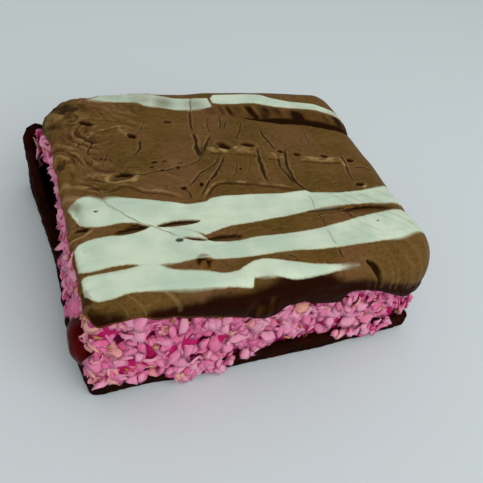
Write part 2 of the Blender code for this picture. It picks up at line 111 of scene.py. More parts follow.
# Each plan curve is a run of (distance along the side, place across it)
TOPPING_PLAN = {
    "left": [(0, -0.5), (20, -0.6), (40, -0.6), (50, -1.6), (60, -1.8)],
    "right": [(0, 69.2), (8, 68.5), (20, 67.7), (38, 67.4), (46, 68), (57, 67.6)],
    "front": [(0, -0.3), (15, -0.8), (30, -1.1), (45, -0.8), (68, -0.4)],
    "back": [(0, 59.4), (12, 60), (24, 59.4), (38, 58.5), (68, 56.6)],
}
# How far in from the side, and how far down, the top rounds over
TOPPING_RADIUS = {
    "left": [(0, 1.4), (8, 1.1), (35, 1.1), (46, 3), (58, 7.5)],
    "right": [(0, 8.5), (12, 8), (27, 6), (42, 5), (57, 5.5)],
    "front": [(0, 2.2), (22, 2.8), (34, 3.8), (48, 5.8), (58, 7.2), (69, 7.5)],
    "back": [(0, 7.5), (12, 6), (24, 5), (50, 5), (60, 5), (68, 5.5)],
}
TOPPING_DROP = {
    "left": [(0, 1.3), (8, 0.9), (35, 0.9), (44, 1.6), (50, 3.6), (58, 6.5)],
    "right": [(0, 10), (12, 8.5), (27, 6), (42, 5), (57, 5)],
    "front": [
        (0, 1.4), (2, 2.1), (6, 2.2), (9, 2.4), (22, 2.8), (34, 3.4), (44, 4.6), (48, 5.6), (54, 7.4),
        (60, 9.4), (68, 10),
    ],
    "back": [(0, 6.5), (12, 4.6), (24, 3.2), (50, 3.2), (60, 4.5), (68, 5)],
}
TOPPING_HEM = {
    "left": [(0, 23.7), (4, 24.1), (12, 24.2), (35, 24.1), (44, 22.8), (50, 20.4), (56, 17.8), (60, 17)],
    "right": [(0, 12.6), (10, 13.2), (24, 15.4), (38, 14.8), (50, 16.4), (57, 16.6)],
    "front": [
        (0, 23.7), (0.6, 22.5), (1.3, 21.8), (4, 22.2), (7, 22.8), (9.5, 21.9), (12, 21.3), (17, 19.8),
        (23, 18.4), (28.5, 16.8), (31, 16.9), (33.5, 19), (35.5, 19.1), (38, 18.2), (41.5, 17),
        (44.6, 16.3), (46, 19.2), (49.5, 18.5), (55, 16.3), (59, 14.2), (62.5, 12.8), (68, 12.6),
    ],
    "back": [(0, 17), (14, 17.8), (30, 17), (46, 17.8), (60, 16.4), (68, 16.6)],
}
# Height at which the top turns into the side; below it the side gets painted shade
TOPPING_SHADE_TURN = {
    "left": [(0, 23.6), (30, 23.4), (50, 20.5), (60, 18.5)],
    "right": [(0, 15.4), (12, 16), (27, 18), (57, 19)],
    "front": [
        (0, 25.2), (3, 24.6), (7, 23.4), (10, 24.3), (20, 24.7), (26, 24.2), (34, 24.6),
        (38, 24.4), (42, 23.6), (46, 22.4), (52, 20.6), (56, 19), (60, 17.4), (67, 15.8),
    ],
    "back": [(0, 20.5), (24, 22), (56, 20.5), (68, 19)],
}
FILLING_PLAN = {
    "left": [(0, -0.2), (20, -0.8), (40, -0.8), (47, -1.6), (54, -2.9), (58, -3)],
    "right": [(0, 66.6), (20, 66.4), (57, 66.3)],
    "front": [(0, -0.1), (15, -0.4), (25, -0.3), (31, 0.3), (45, 0.6), (68, 0.8)],
    "back": [(0, 57.4), (14, 58), (38, 57), (68, 55.4)],
}
FILLING_RADIUS = 1.4
BASE_PLAN = {
    "left": [(0, -0.2), (6, -1.4), (14, -2.3), (27, -2.5), (38, -3.3), (50, -4.8), (60, -5.9)],
    "right": [(0, 68), (30, 67.4), (57, 67.2)],
    "front": [
        (0, 0.1), (9.8, 0), (16, -0.5), (30, -0.5), (38, -0.6), (47, -0.7), (56, -0.4), (65, -0.2), (68, 0.2),
    ],
    "back": [(0, 60), (20, 59.4), (45, 58), (68, 56.8)],
}
BASE_RADIUS = 1.0
BASE_LIP = {
    "left": [(0, 4.2), (43, 4.2), (48, 6), (53, 12), (57, 14.6), (60, 15.4)],
    "right": [(0, 4.2), (57, 4.2)],
    "front": [(0, 4.2), (68, 4.2)],
    "back": [(-6, 15.4), (-4.4, 16.8), (-2.8, 17.4), (-1, 14), (3, 7), (7, 4.2), (68, 4.2)],
}
LIP_THICKNESS = 1.9
# How low the flakes hang over the front of the base
FLAKE_FOOT = [
    (0, 4.2), (1.3, 3.6), (4, 2.4), (6, 3.4), (9, 3.4), (13, 3), (15, 0.4), (18, 0.3), (20, 2),
    (23, 0.4), (25, 1.5), (27, 3.6), (31, 4.4), (39, 4.6), (45, 4.4), (50, 3), (54, 1.9), (58, 1.6),
    (61, 2.8), (64, 4.2), (68, 4.2),
]
# Below this height the left side has no flakes, and its paste gets painted shade
BARE_SHADED_LEVEL = [
    (0, 0), (18, 1), (24, 8), (30, 14), (36, 17), (43, 18), (50, 17.5), (54, 13), (57, 8),
]

CHERRY_CENTRE = (0.5, 5.8, 9.8)
CHERRY_SIZE = (7.6, 9.0, 10.0)
CHERRY_AROUND = 96
CHERRY_RINGS = 56
# Past this share of its width to the left, the cherry is pressed in by so much
CHERRY_CUT = 0.43
CHERRY_PRESSED = 0.45
HOLLOW_CENTRE = (0.6, 7.6, 15.6)
HOLLOW_SIZE = (4.6, 6.4, 3.6)
# What opens in the left side: a centre, a size, and how far the paste is pushed in
OPENINGS = ((CHERRY_CENTRE, CHERRY_SIZE, 4.5), (HOLLOW_CENTRE, HOLLOW_SIZE, 4.0))

RIDGE_FOOT = [(28, 48.4), (34, 47.4), (45, 44.7), (54, 43.2), (60, 41.2), (64, 39.3), (68, 38)]
RIDGE_BROW = [(28, 49.6), (34, 50), (45, 49.6), (54, 47.2), (60, 45.4), (68, 42)]
RIDGE_START = (29, 36)


def smooth(where, knots):
    """Cubic curve through the knots that never swings past them: the slope at a knot is
    the harmonic mean of the slopes on its two sides, or 0 where they turn."""
    at, value = np.array(knots, float).T
    secant = np.diff(value) / np.diff(at)
    turn = secant[:-1] * secant[1:]
    mean = 2 * turn / np.where(turn > 0, secant[:-1] + secant[1:], 1)
    slope = np.concatenate([secant[:1], np.where(turn > 0, mean, 0), secant[-1:]])
    where = np.clip(where, at[0], at[-1])
    i = np.clip(np.searchsorted(at, where, side="right") - 1, 0, len(at) - 2)
    gap = at[i + 1] - at[i]
    k = (where - at[i]) / gap
    rise = 3 * k**2 - 2 * k**3
    bend = slope[i] * (k**3 - 2 * k**2 + k) + slope[i + 1] * (k**3 - k**2)
    return value[i] * (1 - rise) + value[i + 1] * rise + gap * bend


def step(k):
    """0 below 0, 1 above 1, and a smooth rise between."""
    k = np.clip(k, 0, 1)
    return k * k * (3 - 2 * k)


def bell(k, power=2):
    """A bell curve, 1 at 0, or with a greater power one that is flatter on top."""
    return np.exp(-(k**power))


def noise(points, cell, seed):
    """Smooth noise from -1 to 1: each corner of a lattice of that cell has a hashed value,
    and a place blends its eight corners by step()."""
    scaled = np.asarray(points, float) / cell
    corner = np.floor(scaled).astype(np.int64)
    blend = step(scaled - corner)
    total = 0.0
    for bits in range(8):
        pick = np.array([bits & 1, bits >> 1 & 1, bits >> 2 & 1])
        at = corner + pick
        mixed = at[..., 0] * 374761393 + at[..., 1] * 668265263 + at[..., 2] * 2147483647 + seed * 974711
        mixed = (mixed ^ (mixed >> 13)) * 1274126177
        value = ((mixed ^ (mixed >> 16)) & 0xFFFF) / 32767.5 - 1
        weight = np.prod(np.where(pick, blend, 1 - blend), axis=-1)
        total = total + weight * value
    return total


def rough(points, cell, seed, octaves=3):
    """Noise on ever finer cells, each of half the size and half the height."""
    return sum(noise(points, cell / 2**k, seed + k) / 2**k for k in range(octaves))


def xyz(x, y, z=0.0):
    """Points from numbers and arrays that broadcast together."""
    return np.stack(np.broadcast_arrays(x, y, z), axis=-1)


def curve_or_number(curves, side, where):
    """A side's own curve there, or the one number that holds for all sides."""
    return smooth(where, curves[side]) if isinstance(curves, dict) else curves


def nearness(x, y, plan, radius):
    """How far into each side's rounding a place is: 1 on the side, 0 or less inside it."""
    near = {}
    for side, (axis, inward) in SIDES.items():
        along = (x, y)[1 - axis]
        depth = inward * ((x, y)[axis] - smooth(along, plan[side]))
        near[side] = 1 - depth / curve_or_number(radius, side, along)
    return near


def pair_nearness(near):
    """The greater nearness of left and right, and that of front and back."""
    return np.maximum(near["left"], near["right"]), np.maximum(near["front"], near["back"])


def pair_values(x, y, near, curves):
    """The curve of the nearer of left and right, and that of the nearer of front and back."""
    across = np.where(near["left"] > near["right"], smooth(y, curves["left"]), smooth(y, curves["right"]))
    along = np.where(near["front"] > near["back"], smooth(x, curves["front"]), smooth(x, curves["back"]))
    return across, along


def round_off(x, y):
    """The topping's drop below its flat top: a quarter ellipse over each edge, joined at
    the corners by the length of the two nearness values taken together."""
    near = nearness(x, y, TOPPING_PLAN, TOPPING_RADIUS)
    across, along = (np.maximum(0, value) for value in pair_nearness(near))
    drop_across, drop_along = pair_values(x, y, near, TOPPING_DROP)
    total = across**2 + along**2
    drop = (across**2 * drop_across + along**2 * drop_along) / np.maximum(total, 1e-9)
    return drop * (1 - np.sqrt(np.clip(1 - total, 0, 1)))


def ridge(x, y):
    """The raised band along the back right: it rises from its foot line to its brow, and is
    steepest under the brow."""
    start = step((x - RIDGE_START[0]) / (RIDGE_START[1] - RIDGE_START[0]))
    foot = smooth(x, RIDGE_FOOT)
    share = np.clip((y - foot) / (smooth(x, RIDGE_BROW) - foot), 0, 1)
    return RIDGE_HEIGHT * start * step(share)


def top_height(x, y):
    """The smooth top: its level, and the ridge on it, less what rounds off at its edges."""
    return HEIGHT + ridge(x, y) - round_off(x, y)


def side_value(x, y, curves, plan=TOPPING_PLAN, radius=TOPPING_RADIUS):
    """The curve of whichever side is nearest to a place, such as the hem's height there."""
    near = nearness(x, y, plan, radius)
    across, along = pair_values(x, y, near, curves)
    near_across, near_along = pair_nearness(near)
    return np.where(near_across > near_along, across, along)


def lines(low_edge, on_flat, high_edge):
    """Grid lines across one direction. Each has a signed nearness, -1 and 1 on the two
    sides, and a share of the flat middle; on an edge the lines turn by equal angles."""
    low = np.sin(np.linspace(math.pi / 2, 0, low_edge + 1))[:-1]
    high = np.sin(np.linspace(0, math.pi / 2, high_edge + 1))[1:]
    flat = np.linspace(0, 1, on_flat + 1)
    near = np.concatenate([-low, np.zeros(on_flat + 1), high])
    share = np.concatenate([np.zeros(low_edge), flat, np.ones(high_edge)])
    return near, share


def plan_grid(plan, radius, across, along):
    """Places of a grid that fills a plan with rounded corners. A square corner of the grid
    becomes a quarter disc by near_x * sqrt(1 - near_y^2 / 2), and the same the other way.
    The edge curves depend on the places, so these are worked out again a few times."""
    near_x, share_x = (a[None, :] for a in lines(*across))
    near_y, share_y = (a[:, None] for a in lines(*along))
    disc_x = near_x * np.sqrt(1 - near_y**2 / 2)
    disc_y = near_y * np.sqrt(1 - near_x**2 / 2)
    x = np.broadcast_to(20 + 30 * share_x, disc_x.shape)
    y = np.broadcast_to(20 + 20 * share_y, disc_y.shape)
    for _ in range(GRID_ROUNDS):
        bend, flat = {}, {}
        for side, (axis, inward) in SIDES.items():
            run = (x, y)[1 - axis]
            bend[side] = curve_or_number(radius, side, run)
            flat[side] = smooth(run, plan[side]) + inward * bend[side]
        reach_x = disc_x * np.where(near_x < 0, bend["left"], bend["right"])
        reach_y = disc_y * np.where(near_y < 0, bend["front"], bend["back"])
        x = flat["left"] + (flat["right"] - flat["left"]) * share_x + reach_x
        y = flat["front"] + (flat["back"] - flat["front"]) * share_y + reach_y
    return x, y


def around(grid):
    """The border of a grid in order, counterclockwise from its front left corner."""
    return np.concatenate([grid[0, :-1], grid[:-1, -1], grid[-1, :0:-1], grid[:0:-1, 0]])


def outward(x, y):
    """Unit normals that point out of a counterclockwise ring."""
    out_x = np.roll(y, -1) - np.roll(y, 1)
    out_y = np.roll(x, 1) - np.roll(x, -1)
    length = np.hypot(out_x, out_y)
    return out_x / length, out_y / length


def even_ring(plan, radius, spacing):
    """The outline of a plan with its points at equal distances, counterclockwise."""
    x, y = (around(g) for g in plan_grid(plan, radius, (12, 90, 12), (12, 80, 12)))
    run = np.concatenate([[0], np.cumsum(np.hypot(np.roll(x, -1) - x, np.roll(y, -1) - y))])
    count = int(run[-1] / spacing)
    at = np.linspace(0, run[-1], count, endpoint=False)
    return np.interp(at, run, np.append(x, x[0])), np.interp(at, run, np.append(y, y[0]))


def shrink(x, y, inset):
    """A rim drawn in towards its own middle by about inset."""
    middle_x, middle_y = x.mean(), y.mean()
    share = 1 - inset / MEAN_HALF_WIDTH
    return middle_x + share * (x - middle_x), middle_y + share * (y - middle_y)


def under_level(x, y, gap):
    """Height of the face where topping and filling meet: the hem's height as far in as
    HEM_WIDTH, then a climb or a fall to the flat over HEM_RUN, all lower by gap; the climb
    comes later, or the fall sooner, by twice the gap."""
    depth = 1 - np.max(list(nearness(x, y, TOPPING_PLAN, 1.0).values()), axis=0)
    hem = side_value(x, y, TOPPING_HEM)
    climb = HEIGHT - TOPPING_THICKNESS - hem
    return hem + climb * step((depth - HEM_WIDTH - 2 * gap * np.sign(climb)) / HEM_RUN) - gap


# What a knife, air bubbles and setting left on the top. A crack is a width, a depth and a
# path of (x, y)
CRACKS = [
    (0.55, 0.5, [(32.6, 33.6), (30.7, 30.9), (28.2, 27.6), (25.6, 24.6), (24.1, 22.5), (22.8, 20.6)]),
    (0.45, 0.35, [(31.1, 34.2), (29.7, 31.3), (27.6, 29.4), (24.8, 27.7), (23, 25.3), (20.8, 23.9)]),
    (0.45, 0.38, [(31, 55), (29, 48.2), (27.9, 43.6), (28.2, 41.1)]),
    (0.9, 0.55, [(27.8, 41.6), (27.3, 38.6), (26.8, 35.8), (26.6, 32.8)]),
    (0.55, 0.4, [(31.2, 40.4), (28.5, 35.9), (26.7, 33.1)]),
    (0.45, 0.22, [(33.2, 47.5), (31.8, 44.6), (31.3, 40.8)]),
    (0.45, 0.28, [(35.3, 47.4), (34.9, 44.3), (34, 41.9)]),
    (0.45, 0.26, [(36.5, 45.5), (35, 41.8)]),
    (0.45, 0.3, [(39.8, 44.6), (37.8, 40.4), (36.3, 37.8)]),
    (0.5, 0.36, [(43.5, 43.6), (43.1, 38.5), (43.7, 34.3), (44.3, 32.9)]),
    (0.45, 0.14, [(53.8, 40.1), (52.9, 36.7), (52.8, 33.9)]),
    (0.75, 0.48, [(40.2, 35.1), (38.8, 30.5), (38, 24.9), (37.7, 23)]),
    (0.5, 0.4, [(43.6, 31.7), (42.6, 28.4), (42.8, 25.5), (43.1, 23.5), (42.7, 22)]),
    (0.6, 0.48, [(46.5, 34.5), (44.7, 29.9), (43.9, 26.6), (43.8, 23.4), (44.7, 20.9), (45.6, 19.3)]),
    (0.5, 0.36, [(58.4, 31.1), (58, 27.5), (57.1, 24.2), (57.1, 20.9)]),
    (0.5, 0.34, [(58.9, 25.7), (61.4, 25.6), (63, 24.3)]),
    (0.4, 0.16, [(34, 31.5), (32.7, 27.9), (31.1, 25.8)]),
    (0.4, 0.14, [(37.2, 32), (35.1, 26.9)]),
    (0.4, 0.24, [(3.8, 31.6), (7.5, 30.8), (10.5, 29.8), (14.1, 28.9), (17.9, 29.5), (21.5, 30.1),
                  (25.8, 31.8), (29.3, 35.5)]),
    (0.5, 0.36, [(15.9, 40.2), (15.4, 37.2), (13.7, 34.9)]),
    (0.45, 0.14, [(19.7, 47.5), (17.7, 45.2), (16.4, 42.1)]),
    (0.45, 0.3, [(6.8, 41), (5.2, 35.4)]),
    (0.45, 0.3, [(5.9, 34.7), (5, 32.1)]),
    (0.5, 0.3, [(4.2, 39.8), (3.5, 38)]),
    (0.6, 0.22, [(1.5, 46.6), (3.3, 46.1), (5.2, 45.7)]),
    (0.45, 0.3, [(19.3, 23.8), (20.6, 24.2), (21.4, 22.6), (21.2, 20.8)]),
    (0.45, 0.3, [(24.5, 23.8), (24.2, 25.8)]),
    (0.4, 0.16, [(9, 36.5), (7.8, 33.5), (7, 31.8)]),
    (0.4, 0.12, [(20.5, 37), (22.5, 33.4)]),
    (0.45, 0.26, [(44, 13.6), (44.1, 11.4), (43.9, 9.9)]),
    (0.4, 0.12, [(44.6, 18.8), (44.4, 16.6), (44, 14.4)]),
    (0.4, 0.14, [(43.9, 9.6), (43.8, 7.4), (43.9, 4.9)]),
    (0.5, 0.3, [(43.9, 4.6), (43.8, 3.4), (43.9, 2.4)]),
    (0.4, 0.26, [(33.8, 4.9), (34.8, 3.9), (35, 2.9)]),
    (0.45, 0.26, [(50.2, 13.6), (50.4, 12.6), (50.4, 11.4)]),
    (0.4, 0.26, [(6, 22.4), (7.5, 20.3), (9.9, 17.2), (11.4, 15.9), (13.8, 14.3), (17.2, 11.7)]),
    (0.35, 0.2, [(5.4, 23.2), (6.6, 20.8), (7.6, 20)]),
]
# A hollow is a place, its half length, half width and turn in degrees, and a depth
HOLLOWS = [
    (10.4, 28.6, 2.3, 1.2, 12, 0.55),
    (0.9, 15.5, 1.8, 0.8, 25, 0.25),
]
# A pit is a place, its half length, half width and turn in degrees, and a depth
PITS = [
    (6.4, 46.2, 1.45, 0.75, -28, 0.9),
    (14.7, 41.4, 1, 0.65, -58, 0.9),
    (23.2, 45.8, 0.8, 0.5, -20, 0.7),
    (32.8, 36.2, 1.35, 0.95, -50, 1),
    (38.3, 36, 1.45, 0.75, -18, 0.8),
    (44.7, 33, 0.7, 0.55, 0, 0.7),
    (48.1, 31.6, 0.8, 0.65, -20, 0.8),
    (54.1, 30.1, 0.75, 0.7, -30, 0.8),
    (59.5, 28.1, 0.8, 0.7, 0, 0.8),
    (57.8, 20.3, 0.9, 0.6, 0, 0.8),
    (16.4, 11.4, 0.65, 0.45, 0, 0.5),
    (33.7, 28.2, 0.34, 0.32, 0, 0.5),
    (7.5, 34.7, 0.28, 0.25, 0, 0.4),
    (8.3, 34.4, 0.25, 0.22, 0, 0.4),
    (9.2, 33.6, 0.3, 0.22, 20, 0.4),
    (19.2, 32.5, 0.42, 0.3, 20, 0.7),
    (17.2, 32.2, 0.7, 0.34, 10, 0.35),
    (22.1, 31.5, 0.45, 0.26, 0, 0.45),
    (21.3, 30.2, 0.5, 0.3, 10, 0.45),
    (17.9, 29.5, 0.8, 0.26, 15, 0.45),
    (16.4, 30.9, 0.6, 0.24, 10, 0.35),
    (20.7, 24, 0.6, 0.4, 20, 0.45),
    (24.4, 24.6, 0.5, 0.34, 60, 0.5),
    (55.4, 9.6, 0.3, 0.22, 0, 0.4),
    (4.2, 20.2, 0.35, 0.25, 0, 0.5),
    (50.5, 0.6, 2.1, 0.5, -28, 1),
]
# A tear through a stripe is a half width, a depth and a path
TEARS = [
    (0.6, 0.35, [(6.3, 14.5), (8, 14.7), (10.4, 15), (12.2, 15.3)]),
    (0.4, 0.35, [(8.4, 15.6), (10.2, 15.6), (12.2, 15.4)]),
    (0.62, 0.4, [(13.6, 15.1), (17, 15.2), (21, 15.1)]),
    (0.66, 0.4, [(21.2, 10.6), (24.4, 10.5), (27.6, 10.4)]),
    (0.3, 0.3, [(17.3, 11.7), (19.2, 11.1), (21, 10.5)]),
    (0.34, 0.3, [(42, 14.3), (46, 14.3), (50.5, 13.9)]),
    (0.66, 0.4, [(49.6, 13.4), (53, 13.4), (55.3, 13.3), (57.6, 13.1), (60.2, 12.6)]),
]
# A scarp is a height, a fade distance and a path: the ground on its left hand is higher
SCARPS = [
    (0.4, 2.2, [(23, 19.4), (24.9, 22), (26.7, 23.9), (29.2, 24.5), (32.7, 23.7), (35.9, 22.9),
                 (37.8, 22.4), (41.1, 21.2), (44.4, 20.2)]),
    (0.35, 2.6, [(1, 25.8), (4.8, 26.1), (6.1, 25), (8.1, 25.1), (9.8, 26.1), (11.3, 25.5),
                 (13.4, 24), (16.1, 23.3), (18.6, 22.1), (20.5, 20.9)]),
    (0.3, 2.2, [(3.6, 38.4), (4.8, 39.7), (6.3, 41.4), (8, 42.8), (10.1, 43.7), (12.5, 44.4), (16, 43.4)]),
    (0.22, 2, [(1.5, 46.6), (5, 47.6), (9, 47.4), (13, 46.2), (17, 45)]),
    (0.34, 1.8, [(29, 34.3), (30.4, 33.9), (32, 33.6)]),
    (0.34, 1.8, [(33.6, 33.4), (35.2, 33.2), (38, 32.5), (39.8, 31.9)]),
    (0.3, 1.6, [(40.6, 31), (42.2, 30.5), (43.8, 30.1)]),
    (0.26, 1.2, [(53.2, 10.9), (52.1, 11.9), (51.2, 12.5), (49.6, 12.9), (47, 12.8), (43, 13)]),
    (0.34, 1.8, [(47.2, 29.4), (49.2, 29), (52.4, 28.2), (56.1, 27.6), (57.9, 27)]),
]
# A patch is a place, its half length, half width and turn, and how much paler it is
PALE_PATCHES = [
    (13.5, 43.2, 1.6, 0.9, 120, 1), (32.2, 34.5, 1.2, 0.6, -20, 1), (29.9, 35.2, 1.3, 0.6, -30, 0.9),
    (35.4, 34.6, 1.2, 0.9, -30, 1), (37.4, 33.9, 1.7, 0.9, -25, 1), (41.8, 31.9, 1.5, 0.8, -20, 0.9),
    (44, 31.2, 0.9, 0.6, 0, 0.7), (50.8, 29.5, 2.8, 0.7, -10, 1), (55.6, 28.6, 1.9, 0.7, -10, 1),
    (57.6, 26.8, 0.9, 0.6, -60, 0.9), (57.9, 19.5, 1, 0.5, 0, 1), (7, 45.3, 1.8, 0.5, -20, 0.7),
    (12.4, 27.4, 0.9, 0.5, 40, 0.9), (5.6, 29.2, 2.4, 1, 0, 0.7), (4.4, 23.8, 2.4, 0.7, -10, 0.8),
    (4, 51.8, 2, 0.7, 60, 0.9), (6.2, 54, 1.6, 0.5, 50, 0.7), (2.4, 43, 1.4, 0.9, 60, 0.5),
    (17.4, 44.6, 1, 0.4, 60, 0.6), (27.7, 20.2, 2, 0.5, 0, 0.3), (32.9, 36.9, 0.8, 0.4, -10, 0.7),
]
LUMP = (19.2, 5.9, 1.45, 1.75, 0.45)


def smooth_path(points, per_span=5):
    """Catmull-Rom curve through the points, with per_span steps in each span."""
    points = np.array(points, float)
    padded = np.concatenate([2 * points[:1] - points[1:2], points, 2 * points[-1:] - points[-2:-1]])
    a, b, c, d = padded[:-3, None], padded[1:-2, None], padded[2:-1, None], padded[3:, None]
    t = np.linspace(0, 1, per_span + 1)[:-1][None, :, None]
    spans = 0.5 * (
        2 * b + (c - a) * t + (2 * a - 5 * b + 4 * c - d) * t**2 + (3 * b - a - 3 * c + d) * t**3
    )
    return np.concatenate([spans.reshape(-1, 2), points[-1:]])


def along_path(places, points, reach):
    """The smooth path through the points, which places are within reach of its box, their
    distances from it, on which hand they lie (1 left, -1 right), and the share of the way
    along it where they are nearest."""
    path = smooth_path(points)
    inside = (places[:, :2] > path.min(axis=0) - reach) & (places[:, :2] < path.max(axis=0) + reach)
    at = np.flatnonzero(inside.all(axis=1))
    start, span = path[:-1], np.diff(path, axis=0)
    length = np.hypot(*span.T)
    run = np.concatenate([[0], np.cumsum(length)])
    away = places[at, None, :2] - start
    t = np.clip((away * span).sum(-1) / length**2, 0, 1)
    apart = away - t[..., None] * span
    gap = np.hypot(apart[..., 0], apart[..., 1])
    best = gap.argmin(axis=1)
    rows = np.arange(len(at))
    turn = span[best, 0] * away[rows, best, 1] - span[best, 1] * away[rows, best, 0]
    share = (run[best] + t[rows, best] * length[best]) / run[-1]
    return path, at, gap[rows, best], np.where(turn > 0, 1, -1), share


def lens(half_width, share):
    """A tear's half width at a share of its path: greatest in the middle of it."""
    return half_width * np.sqrt(np.clip(4 * share * (1 - share), 0.02, 1))


class Relief:
    """What is added to the smooth top at each place: a height in millimetres, and the marks
    that its colour follows. dark, pale and warm go from 0 to 1: dark is painted shade, pale is
    mostly painted highlight, and warm is ochre, partly painted highlight. crack is the signed
    distance from the nearest crack as a multiple of its half width, strength is how strong
    that crack is and 0 away from it, and pit is the distance from the nearest pit's middle as a
    multiple of its size."""

    PLAIN = {"dark": 0.0, "pale": 0.0, "warm": 0.0, "crack": 4.0, "strength": 0.0, "pit": 4.0}

    def __init__(self, x, y):
        """No height and plain marks, at each of these places."""
        self.places = xyz(x, y).reshape(-1, 3)
        self.height = np.zeros(len(self.places))
        self.marks = {label: np.full(len(self.places), value) for label, value in self.PLAIN.items()}

    def raise_to(self, label, amount, at=slice(None)):
        """A mark is never lowered by what comes later."""
        mark = self.marks[label]
        mark[at] = np.maximum(mark[at], amount)

    def add_crack(self, width, depth, points):
        """A groove along a path that noise bends: a bell curve across it. It narrows and
        widens along its way, and its ends taper."""
        _, at, gap, hand, share = along_path(self.places, points, 1.5)
        places = self.places[at]
        signed = gap * hand + 0.12 * noise(places, 0.9, 33) + 0.14 * noise(places, 2.3, 34)
        taper = step(np.minimum(share, 1 - share) * 5 + 0.15)
        half = 0.50 * width * (0.45 + 0.55 * taper) * (1 + 0.55 * noise(places, 1.8, 35))
        self.height[at] -= 0.5 * taper * depth * bell(signed / (half + 0.15))
        ratio = signed / half
        crack, strength = self.marks["crack"], self.marks["strength"]
        closer = abs(ratio) < abs(crack[at])
        crack[at] = np.where(closer, np.clip(ratio, -4, 4), crack[at])
        strong = min(1.0, 0.30 + 1.3 * depth) * taper * step((2.8 - abs(ratio)) / 0.9)
        strength[at] = np.where(closer, strong, strength[at])

    def spot(self, x, y, half_length, half_width, turn):
        """Places near an ellipse, and how many times its own size they are from its middle."""
        away = self.places[:, :2] - (x, y)
        at = np.flatnonzero((abs(away) < 2.6 * half_length).all(axis=1))
        a = math.radians(turn)
        dx, dy = away[at].T
        u = (dx * math.cos(a) + dy * math.sin(a)) / half_length
        v = (dy * math.cos(a) - dx * math.sin(a)) / half_width
        return at, np.hypot(u, v)

    def add_pit(self, x, y, half_length, half_width, turn, depth):
        """A burst bubble: a steep hollow with a rounded floor, painted shade inside, and a low rim with
        painted highlight.
        """
        at, far = self.spot(x, y, half_length, half_width, turn)
        far = far + 0.18 * noise(self.places[at], 0.7, 36)
        self.height[at] -= 0.8 * depth * step((1.2 - far) / 0.5)
        self.marks["pit"][at] = np.minimum(self.marks["pit"][at], far)
        rim = bell((far - 1.5) / 0.3)
        self.height[at] += 0.06 * rim
        self.raise_to("pale", 0.25 * rim, at)

    def add_hollow(self, x, y, half_length, half_width, turn, depth):
        """A wide sunken place with an open floor: painted shadow under its far edge, painted
        highlight on its near rim."""
        at, far = self.spot(x, y, half_length, half_width, turn)
        far = far + 0.16 * noise(self.places[at], 1.1, 39)
        inside = step((1.1 - far) / 0.35)
        self.height[at] -= depth * inside
        across = (self.places[at, 1] - y) / half_width
        self.raise_to("dark", inside * np.clip(0.20 + 0.75 * step((across - 0.1) / 0.6), 0, 1), at)
        rim = bell((far - 1.3) / 0.2)
        self.raise_to("pale", rim * np.clip(0.75 - 0.5 * across, 0, 1), at)
        self.height[at] += 0.08 * rim

    def add_tear(self, half_width, depth, points):
        """A lens-shaped opening, darker inside, with painted shadow under its far edge and an
        ochre painted highlight round its rim.
        """
        _, at, gap, hand, share = along_path(self.places, points, 3 * half_width)
        half = lens(half_width, share)
        self.height[at] -= depth * step((half - gap) / 0.5 + 0.4)
        inside = step((half - gap) / 0.25 + 0.6)
        far_side = bell((gap * hand - 0.7 * half) / (0.45 * half + 0.05))
        self.raise_to("dark", inside * (0.28 + 0.62 * far_side), at)
        self.raise_to("warm", 0.5 * bell((gap - half - 0.12) / 0.16), at)

    def add_scarp(self, height, fade, points):
        """A step up to the left of the path that falls away over the fade distance, with a
        painted highlight on the lip of its brow and painted shade at its foot."""
        path, at, gap, hand, share = along_path(self.places, points, 3 * fade)
        places = self.places[at]
        taper = step(np.minimum(share, 1 - share) * 6 + 0.05)
        for end in (path[0], path[-1]):
            taper = taper * (np.hypot(*(places[:, :2] - end).T) > gap + 0.05)
        signed = gap * hand + 0.12 * noise(places, 1.2, 38)
        self.height[at] += height * taper * step(signed / 0.4 + 0.3) * np.exp(-gap / fade)
        strength = min(1.0, 2.4 * height) * taper
        broken = np.clip(0.70 + 0.9 * noise(places, 1.3, 37), 0, 1)
        self.raise_to("pale", 0.9 * strength * bell((signed - 0.22) / 0.20) * broken, at)
        self.raise_to("dark", 0.62 * strength * bell((signed + 0.28) / 0.30), at)

    def add_patch(self, x, y, half_length, half_width, turn, amount):
        """A bump a little proud of the top, paler with painted highlight and broken up by noise."""
        at, far = self.spot(x, y, half_length, half_width, turn)
        fall = bell(far / 1.1, 4)
        broken = 0.60 + 0.7 * noise(self.places[at], 0.7, 31)
        self.raise_to("pale", np.clip(amount * fall * broken, 0, 1), at)
        self.height[at] += 0.14 * amount * fall


def add_knife_marks(relief):
    """Fine waves that a palette knife left: noise stretched along x at the left, and along
    a slant at the right end."""
    x, y, _ = relief.places.T
    slant = np.radians(18.0)
    u = x * np.cos(slant) - y * np.sin(slant)
    v = x * np.sin(slant) + y * np.cos(slant)
    left = noise(xyz(x / 9, y + 0.03 * x), 0.62, 11)
    left = left * step((30 - x) / 16) * step((y - 22) / 6)
    right = noise(xyz(u, v / 10), 0.7, 12) * step((x - 44) / 10) * step((24 - y) / 6)
    relief.height += 0.055 * left + 0.06 * right


def add_wrinkles(relief):
    """Short ripples at the left of the top: noise that is drawn out along a heading, which
    turns from steep at the left edge to level further in, and is bent by slower noise. Its
    crests get painted highlight and its troughs painted shade."""
    x, y, _ = relief.places.T
    places = relief.places
    heading = np.radians(48 - 2.2 * np.clip(x, 0, 20)) + 0.25 * noise(places, 7.0, 22)
    across = (y * np.cos(heading) - x * np.sin(heading)) + 0.5 * noise(places, 3.4, 23)
    along = (x * np.cos(heading) + y * np.sin(heading)) / 4.5
    ripple = noise(xyz(along, across), 0.75, 24) + 0.6 * noise(xyz(1.6 * along, across), 0.42, 25)
    share = step((31 - x) / 18) * step((y - 21) / 4) * (0.55 + 0.45 * step((10 - x) / 6))
    share = np.clip(share * (0.80 + 0.8 * noise(places, 5.0, 26)), 0, 1)
    relief.height += 0.24 * share * ripple
    relief.raise_to("pale", 0.50 * share * step((ripple - 0.12) / 0.5))
    relief.raise_to("dark", 0.55 * share * step((-ripple - 0.12) / 0.5))


